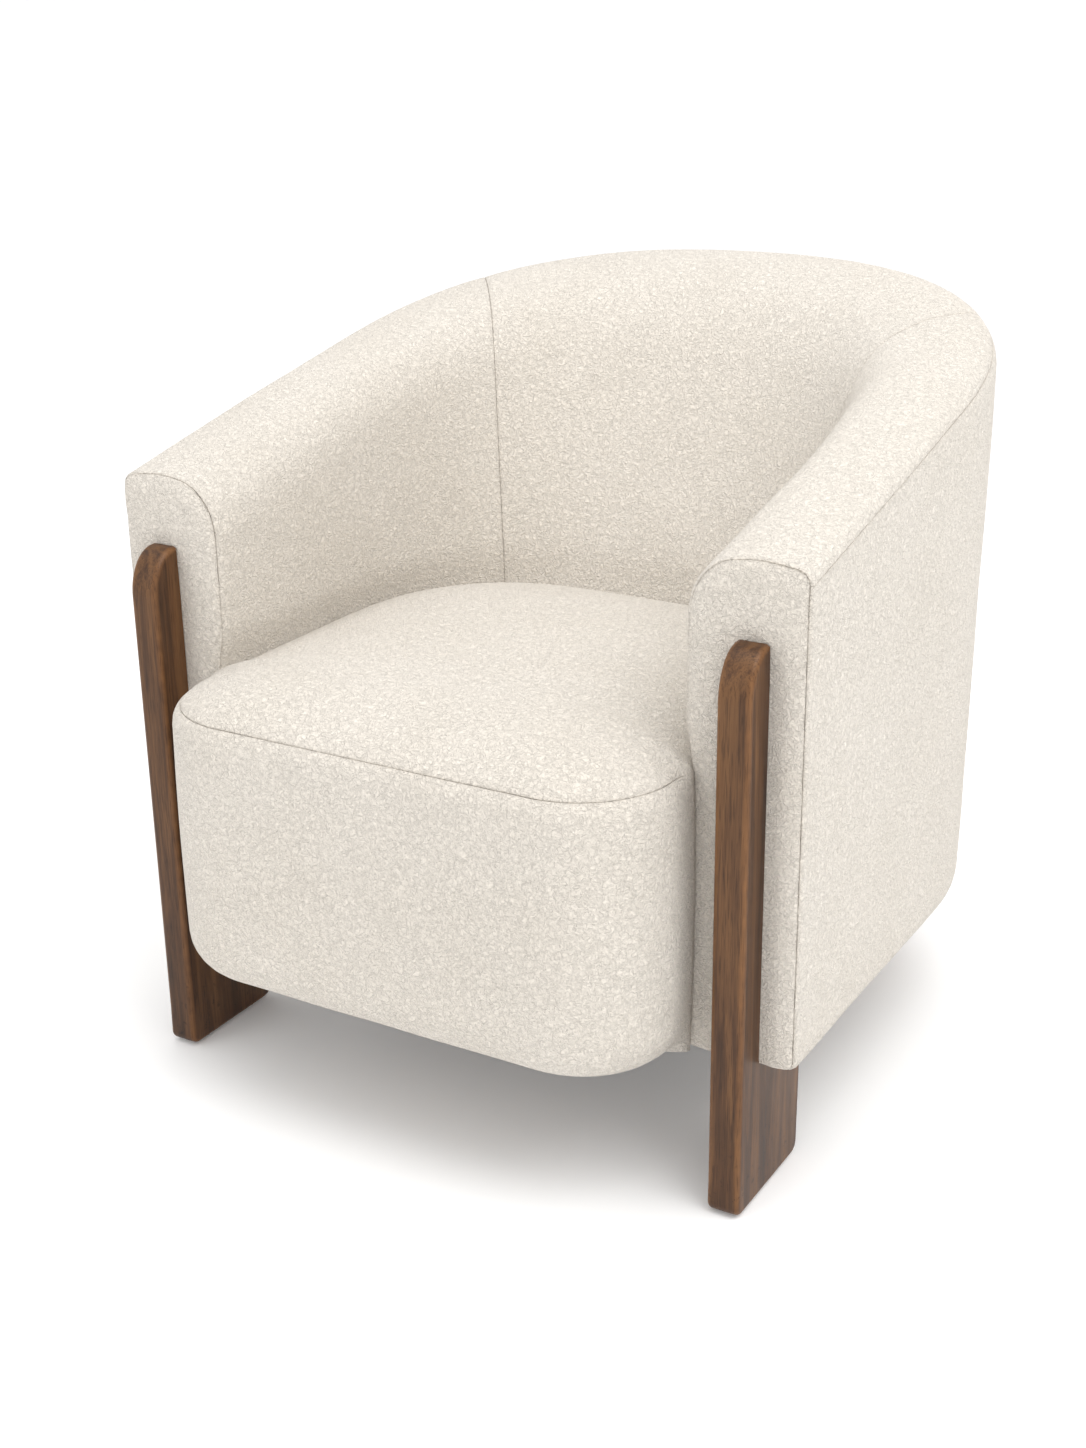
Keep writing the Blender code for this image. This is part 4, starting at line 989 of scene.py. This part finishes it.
def walnut():
    """Oiled walnut with upright grain, open pores, a highlight painted paler along the rounded edges and
    darker marks near the floor.
    """
    look = Finish("walnut_oiled", 0.42, Specular_IOR_Level=0.28, Coat_Weight=0.03, Coat_Roughness=0.3)
    grain_at = look.stretched((38.0, 38.0, 2.6))
    fine_at = look.stretched((420.0, 420.0, 9.0))
    flow = look.noise(1.0, 4.0, 0.6, 1.2, grain_at)
    fine = look.noise(1.0, 3.0, 0.65, 0.4, fine_at)
    bands = look.math("ADD", look.math("MULTIPLY", flow, 0.72), look.math("MULTIPLY", fine, 0.28))
    colour = look.ramp(
        bands,
        (0.30, WALNUT_DARK),
        (0.47, WALNUT_MIDDLE),
        (0.60, WALNUT_LIGHT),
        (0.74, WALNUT_MIDDLE),
    )
    # painted highlight: paler colour halfway round the rounded edges, broken up by noise
    wear = look.math("MULTIPLY", look.attribute("wear"), look.noise(60.0, 2.0))
    colour = look.mix(look.math("MULTIPLY", wear, 0.62, clamp=True), colour, WALNUT_EDGE_HIGHLIGHT)
    pore_at = look.stretched((900.0, 900.0, 40.0))
    pores = look.ramp(look.noise(1.0, 2.0, 0.5, 0.0, pore_at), (0.36, (0.35, 0.32, 0.30)), (0.45, WHITE))
    colour = look.mix(0.55, colour, pores, "MULTIPLY")
    low = look.add("ShaderNodeSeparateXYZ", {0: look.coords}).outputs["Z"]
    foot = look.math("SUBTRACT", 1.0, look.math("MULTIPLY", low, 9.0), clamp=True)
    flecks = look.ramp(look.noise(130.0, 4.0, 0.7), (0.34, (0.12, 0.10, 0.08)), (0.42, WHITE))
    colour = look.mix(look.math("MULTIPLY", foot, 0.8), colour, flecks, "MULTIPLY")
    normal = look.bump(bands, 0.18, 0.0006)
    rough = look.math("MULTIPLY_ADD", fine, 0.22, 0.33)
    return look.done(colour, normal, rough)


def wood(name, dark, light, scale):
    """Plain timber or plywood with grain along one axis."""
    look = Finish(name, 0.62)
    grain = look.noise(1.0, 4.0, 0.6, 0.8, look.stretched((scale / 14, scale, scale)))
    colour = look.ramp(grain, (0.35, dark), (0.65, light))
    return look.done(colour, look.bump(grain, 0.25, 0.0008))


def metal(name, colour, roughness, scale):
    """Plated or bare steel with fine scratches and a little tarnish."""
    look = Finish(name, roughness, Metallic=1.0)
    marks = look.noise(scale, 5.0, 0.7, 0.5)
    shade = tuple(c * 0.62 for c in colour)
    base = look.ramp(marks, (0.32, shade), (0.6, colour))
    rough = look.math("MULTIPLY_ADD", marks, 0.35, roughness - 0.12)
    return look.done(base, look.bump(marks, 0.15, 0.0003), rough)


def woven(name, dark, light, scale):
    """Plain woven cloth: two sets of threads crossing, with a little unevenness."""
    look = Finish(name, 0.9, Sheen_Weight=0.1)
    waves = []
    for axis in ("X", "Y"):
        node = look.add(
            "ShaderNodeTexWave",
            {"Vector": look.coords, "Scale": scale, "Distortion": 0.6, "Detail": 1.0},
            bands_direction=axis,
        )
        waves.append(node.outputs["Fac"])
    weave = look.math("MAXIMUM", *waves)
    colour = look.ramp(look.math("MULTIPLY", weave, look.noise(40.0)), (0.15, dark), (0.6, light))
    return look.done(colour, look.bump(weave, 0.5, 0.0006))


def foam():
    """Open cells of foam."""
    look = Finish("foam_cells", 0.95)
    cells = look.add("ShaderNodeTexVoronoi", {"Vector": look.coords, "Scale": 420.0}).outputs["Distance"]
    colour = look.ramp(cells, (0.1, (0.62, 0.52, 0.30)), (0.6, (0.86, 0.78, 0.56)))
    return look.done(colour, look.bump(cells, 0.6, 0.0010))


def nylon():
    """Dark moulded nylon with a fine grain."""
    look = Finish("nylon_moulded", 0.5)
    grain = look.noise(800.0, 3.0)
    colour = look.ramp(grain, (0.3, (0.020, 0.018, 0.016)), (0.7, (0.045, 0.042, 0.040)))
    return look.done(colour, look.bump(grain, 0.2, 0.0003))


# ==== dressing the pieces
WHITE = (1.0, 1.0, 1.0)
FABRIC = (0.800, 0.742, 0.664)
WALNUT_DARK = (0.020, 0.009, 0.0045)
WALNUT_MIDDLE = (0.076, 0.033, 0.0130)
WALNUT_LIGHT = (0.150, 0.069, 0.0255)
# the paler colour painted as a highlight along the legs' rounded edges
WALNUT_EDGE_HIGHLIGHT = (0.300, 0.132, 0.045)


def dress_frame():
    """The frame's own pieces, with a finish for each material slot."""
    finishes = {
        "walnut": walnut(),
        "birch": wood("birch_rails", (0.46, 0.30, 0.17), (0.66, 0.48, 0.30), 60.0),
        "plywood": wood("plywood_faces", (0.50, 0.34, 0.20), (0.72, 0.55, 0.36), 34.0),
        "spring_steel": metal("spring_wire", (0.30, 0.30, 0.31), 0.40, 300.0),
        "zinc_steel": metal("zinc_plate", (0.62, 0.62, 0.60), 0.36, 400.0),
        "nylon": nylon(),
        "foam": foam(),
        "dust_cloth": woven("dust_cloth_weave", (0.008, 0.008, 0.008), (0.035, 0.035, 0.036), 160.0),
        "webbing": woven("webbing_weave", (0.09, 0.07, 0.05), (0.34, 0.27, 0.19), 120.0),
        "boucle": boucle("boucle_cover", FABRIC),
    }
    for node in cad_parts.values():
        kind = node.data.materials[0].name.split(".")[0]
        key = next((k for k in sorted(finishes, key=len, reverse=True) if k in kind), None)
        if key is None:
            raise ValueError(f"no finish for {kind}")
        node.data.materials.clear()
        node.data.materials.append(finishes[key])
    return finishes


def wear(piece, finish, slot, *nodes):
    piece.data.materials.clear()
    piece.data.materials.append(finish)
    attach(piece, "root")
    if nodes:
        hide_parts(*nodes)
    return piece


def upholster(finishes):
    """Every soft piece, in place of the frame's pads and covers."""
    fabric = finishes["boucle"]
    arm_field = back_field = seat_field = None
    arm_field = simulate_swell("arm_right_pad", held_back)
    back_field = simulate_swell("back_pad", held_back)
    seat_field = simulate_swell("seat_foam", held_seat)
    wrap = outside_grid()
    seams = ["last_column", "first_row", "last_row"]
    lift = smooth(from_edge(wrap, "last_column") / 0.10) * smooth(from_edge(wrap, "first_column") / 0.2)
    lift *= OUTSIDE_SWELL
    piece = cover("outside_wrap", wrap, seams, 5, WRAP_THICK, WRAP_THICK, lift=lift)
    wear(piece, fabric, "boucle", "outside_cover")
    tall = float(from_edge(wrap, "first_column")[:, -1].max())
    for side in ("right", "left"):
        grid = inside_grid(side)
        edges = ["first_column", "first_row", "last_row"]
        mirror = None
        if arm_field is not None:
            points, moves = arm_field
            sign = np.array((1.0 if side == "right" else -1.0, 1.0, 1.0))
            mirror = (points * sign, moves * sign)
        seed = 11 if side == "right" else 17
        piece = cover(
            f"inside_arm_{side}", grid, edges, seed, PAD_EDGE, PAD_THICK, mirror, firm=arm_firmness(grid)
        )
        wear(piece, fabric, "boucle", f"inside_arm_{side}_cover", f"arm_{side}_pad")
        panel, edge, normals = front_panel_grid()
        if side == "left":
            panel, edge, normals = mirrored(panel), edge[::-1], mirrored(normals)
        piece = cover(
            f"arm_front_{side}", panel, [edge], seed + 2, PAD_EDGE, PANEL_PAD,
            firm=arm_firmness(panel), normals=normals,
        )
        wear(piece, fabric, "boucle", f"arm_{side}_front_cover", f"arm_{side}_front_pad")
    grid = inside_grid("back")
    edges = ["first_column", "first_row", "last_row"]
    piece = cover("inside_back", grid, edges, 23, PAD_EDGE, PAD_THICK, back_field)
    wear(piece, fabric, "boucle", "inside_back_cover", "back_pad")
    grid = border_grid()
    lift = border_lift(grid)
    piece = cover("seat_front", grid, ["last_column"], 29, BORDER_THICK, BORDER_THICK, lift=lift)
    wear(piece, fabric, "boucle", "seat_border_cover", "apron_foam")
    piece = seat_cushion(seat_field)
    wear(piece, fabric, "boucle", "seat_top_cover", "seat_foam")


def set_legs(finishes):
    for side in ("right", "left"):
        wear(front_leg(side), finishes["walnut"], "walnut", f"front_leg_{side}")
        wear(rear_leg(side), finishes["walnut"], "walnut", f"rear_leg_{side}")
    sheet, flat = dust_sheet()
    wear(sheet, finishes["dust_cloth"], "dust_cloth", "dust_cover")


# ==== camera, light and floor
CAMERA_PLACE = (0.9582, -1.7172, 1.0701)
CAMERA_TURN = math.radians(30.77)
CAMERA_PITCH = math.radians(21.03)
CAMERA_ROLL = math.radians(-0.8513)
CAMERA_LENS = 48.51
WORLD_STRENGTH = 0.99
LIGHTS = (  # name, place, size and power
    ("top_light", (0.0, -0.4, 3.2), 2.6, 24.0),
    ("right_light", (1.9, -0.7, 3.1), 2.0, 46.0),
    ("left_fill", (-1.7, -3.2, 1.9), 1.8, 9.0),
)
LIGHT_AIM = Vector((0, 0, 0.3))
FLOOR_HALF, FLOOR_FRONT, FLOOR_REAR = 14.0, -12.0, 7.0  # the flat part of the paper
SWEEP_RADIUS, SWEEP_TOP = 3.0, 8.0  # and how it turns up behind
FLOOR_GLOW = 0.07


def set_camera():
    data = bpy.data.cameras.new("camera")
    data.lens = CAMERA_LENS
    camera = bpy.data.objects.new("camera", data)
    bpy.context.scene.collection.objects.link(camera)
    ahead = Vector((
        -math.sin(CAMERA_TURN) * math.cos(CAMERA_PITCH),
        math.cos(CAMERA_TURN) * math.cos(CAMERA_PITCH),
        -math.sin(CAMERA_PITCH),
    ))
    right = Vector((math.cos(CAMERA_TURN), math.sin(CAMERA_TURN), 0.0))
    up = right.cross(ahead)
    c, s = math.cos(CAMERA_ROLL), math.sin(CAMERA_ROLL)
    turn = Matrix((c * right + s * up, -s * right + c * up, -ahead)).transposed().to_4x4()
    camera.matrix_world = Matrix.Translation(CAMERA_PLACE) @ turn
    bpy.context.scene.camera = camera


def set_light():
    scene = bpy.context.scene
    scene.view_settings.view_transform = "Standard"
    world = bpy.data.worlds.new("studio")
    world.use_nodes = True
    background = world.node_tree.nodes["Background"]
    background.inputs["Color"].default_value = (*WHITE, 1.0)
    background.inputs["Strength"].default_value = WORLD_STRENGTH
    scene.world = world
    for name, place, size, energy in LIGHTS:
        data = bpy.data.lights.new(name, "AREA")
        data.size, data.energy = size, energy
        lamp = bpy.data.objects.new(name, data)
        scene.collection.objects.link(lamp)
        turn = (LIGHT_AIM - Vector(place)).to_track_quat("-Z", "Y").to_matrix().to_4x4()
        lamp.matrix_world = Matrix.Translation(place) @ turn


def set_floor():
    turn = np.radians(np.linspace(0, 90, 13))
    sweep = [(FLOOR_FRONT, 0.0)]
    sweep += [(FLOOR_REAR + SWEEP_RADIUS * math.sin(t), SWEEP_RADIUS * (1 - math.cos(t))) for t in turn]
    sweep += [(FLOOR_REAR + SWEEP_RADIUS, SWEEP_TOP)]
    points = [(x, y, z) for x in (-FLOOR_HALF, FLOOR_HALF) for y, z in sweep]
    count = len(sweep)
    faces = [(k, k + count, k + count + 1, k + 1) for k in range(count - 1)]
    floor = mesh_object("floor", points, faces)
    look = Finish("floor_paper", 0.85, Specular_IOR_Level=0.2, Emission_Strength=FLOOR_GLOW)
    look.shader.inputs["Emission Color"].default_value = (*WHITE, 1.0)
    tone = look.ramp(look.noise(2.0, 2.0), (0.3, (0.945, 0.945, 0.944)), (0.7, (0.955, 0.955, 0.954)))
    floor.data.materials.append(look.done(tone))


finishes = dress_frame()
upholster(finishes)
set_legs(finishes)
set_camera()
set_light()
set_floor()
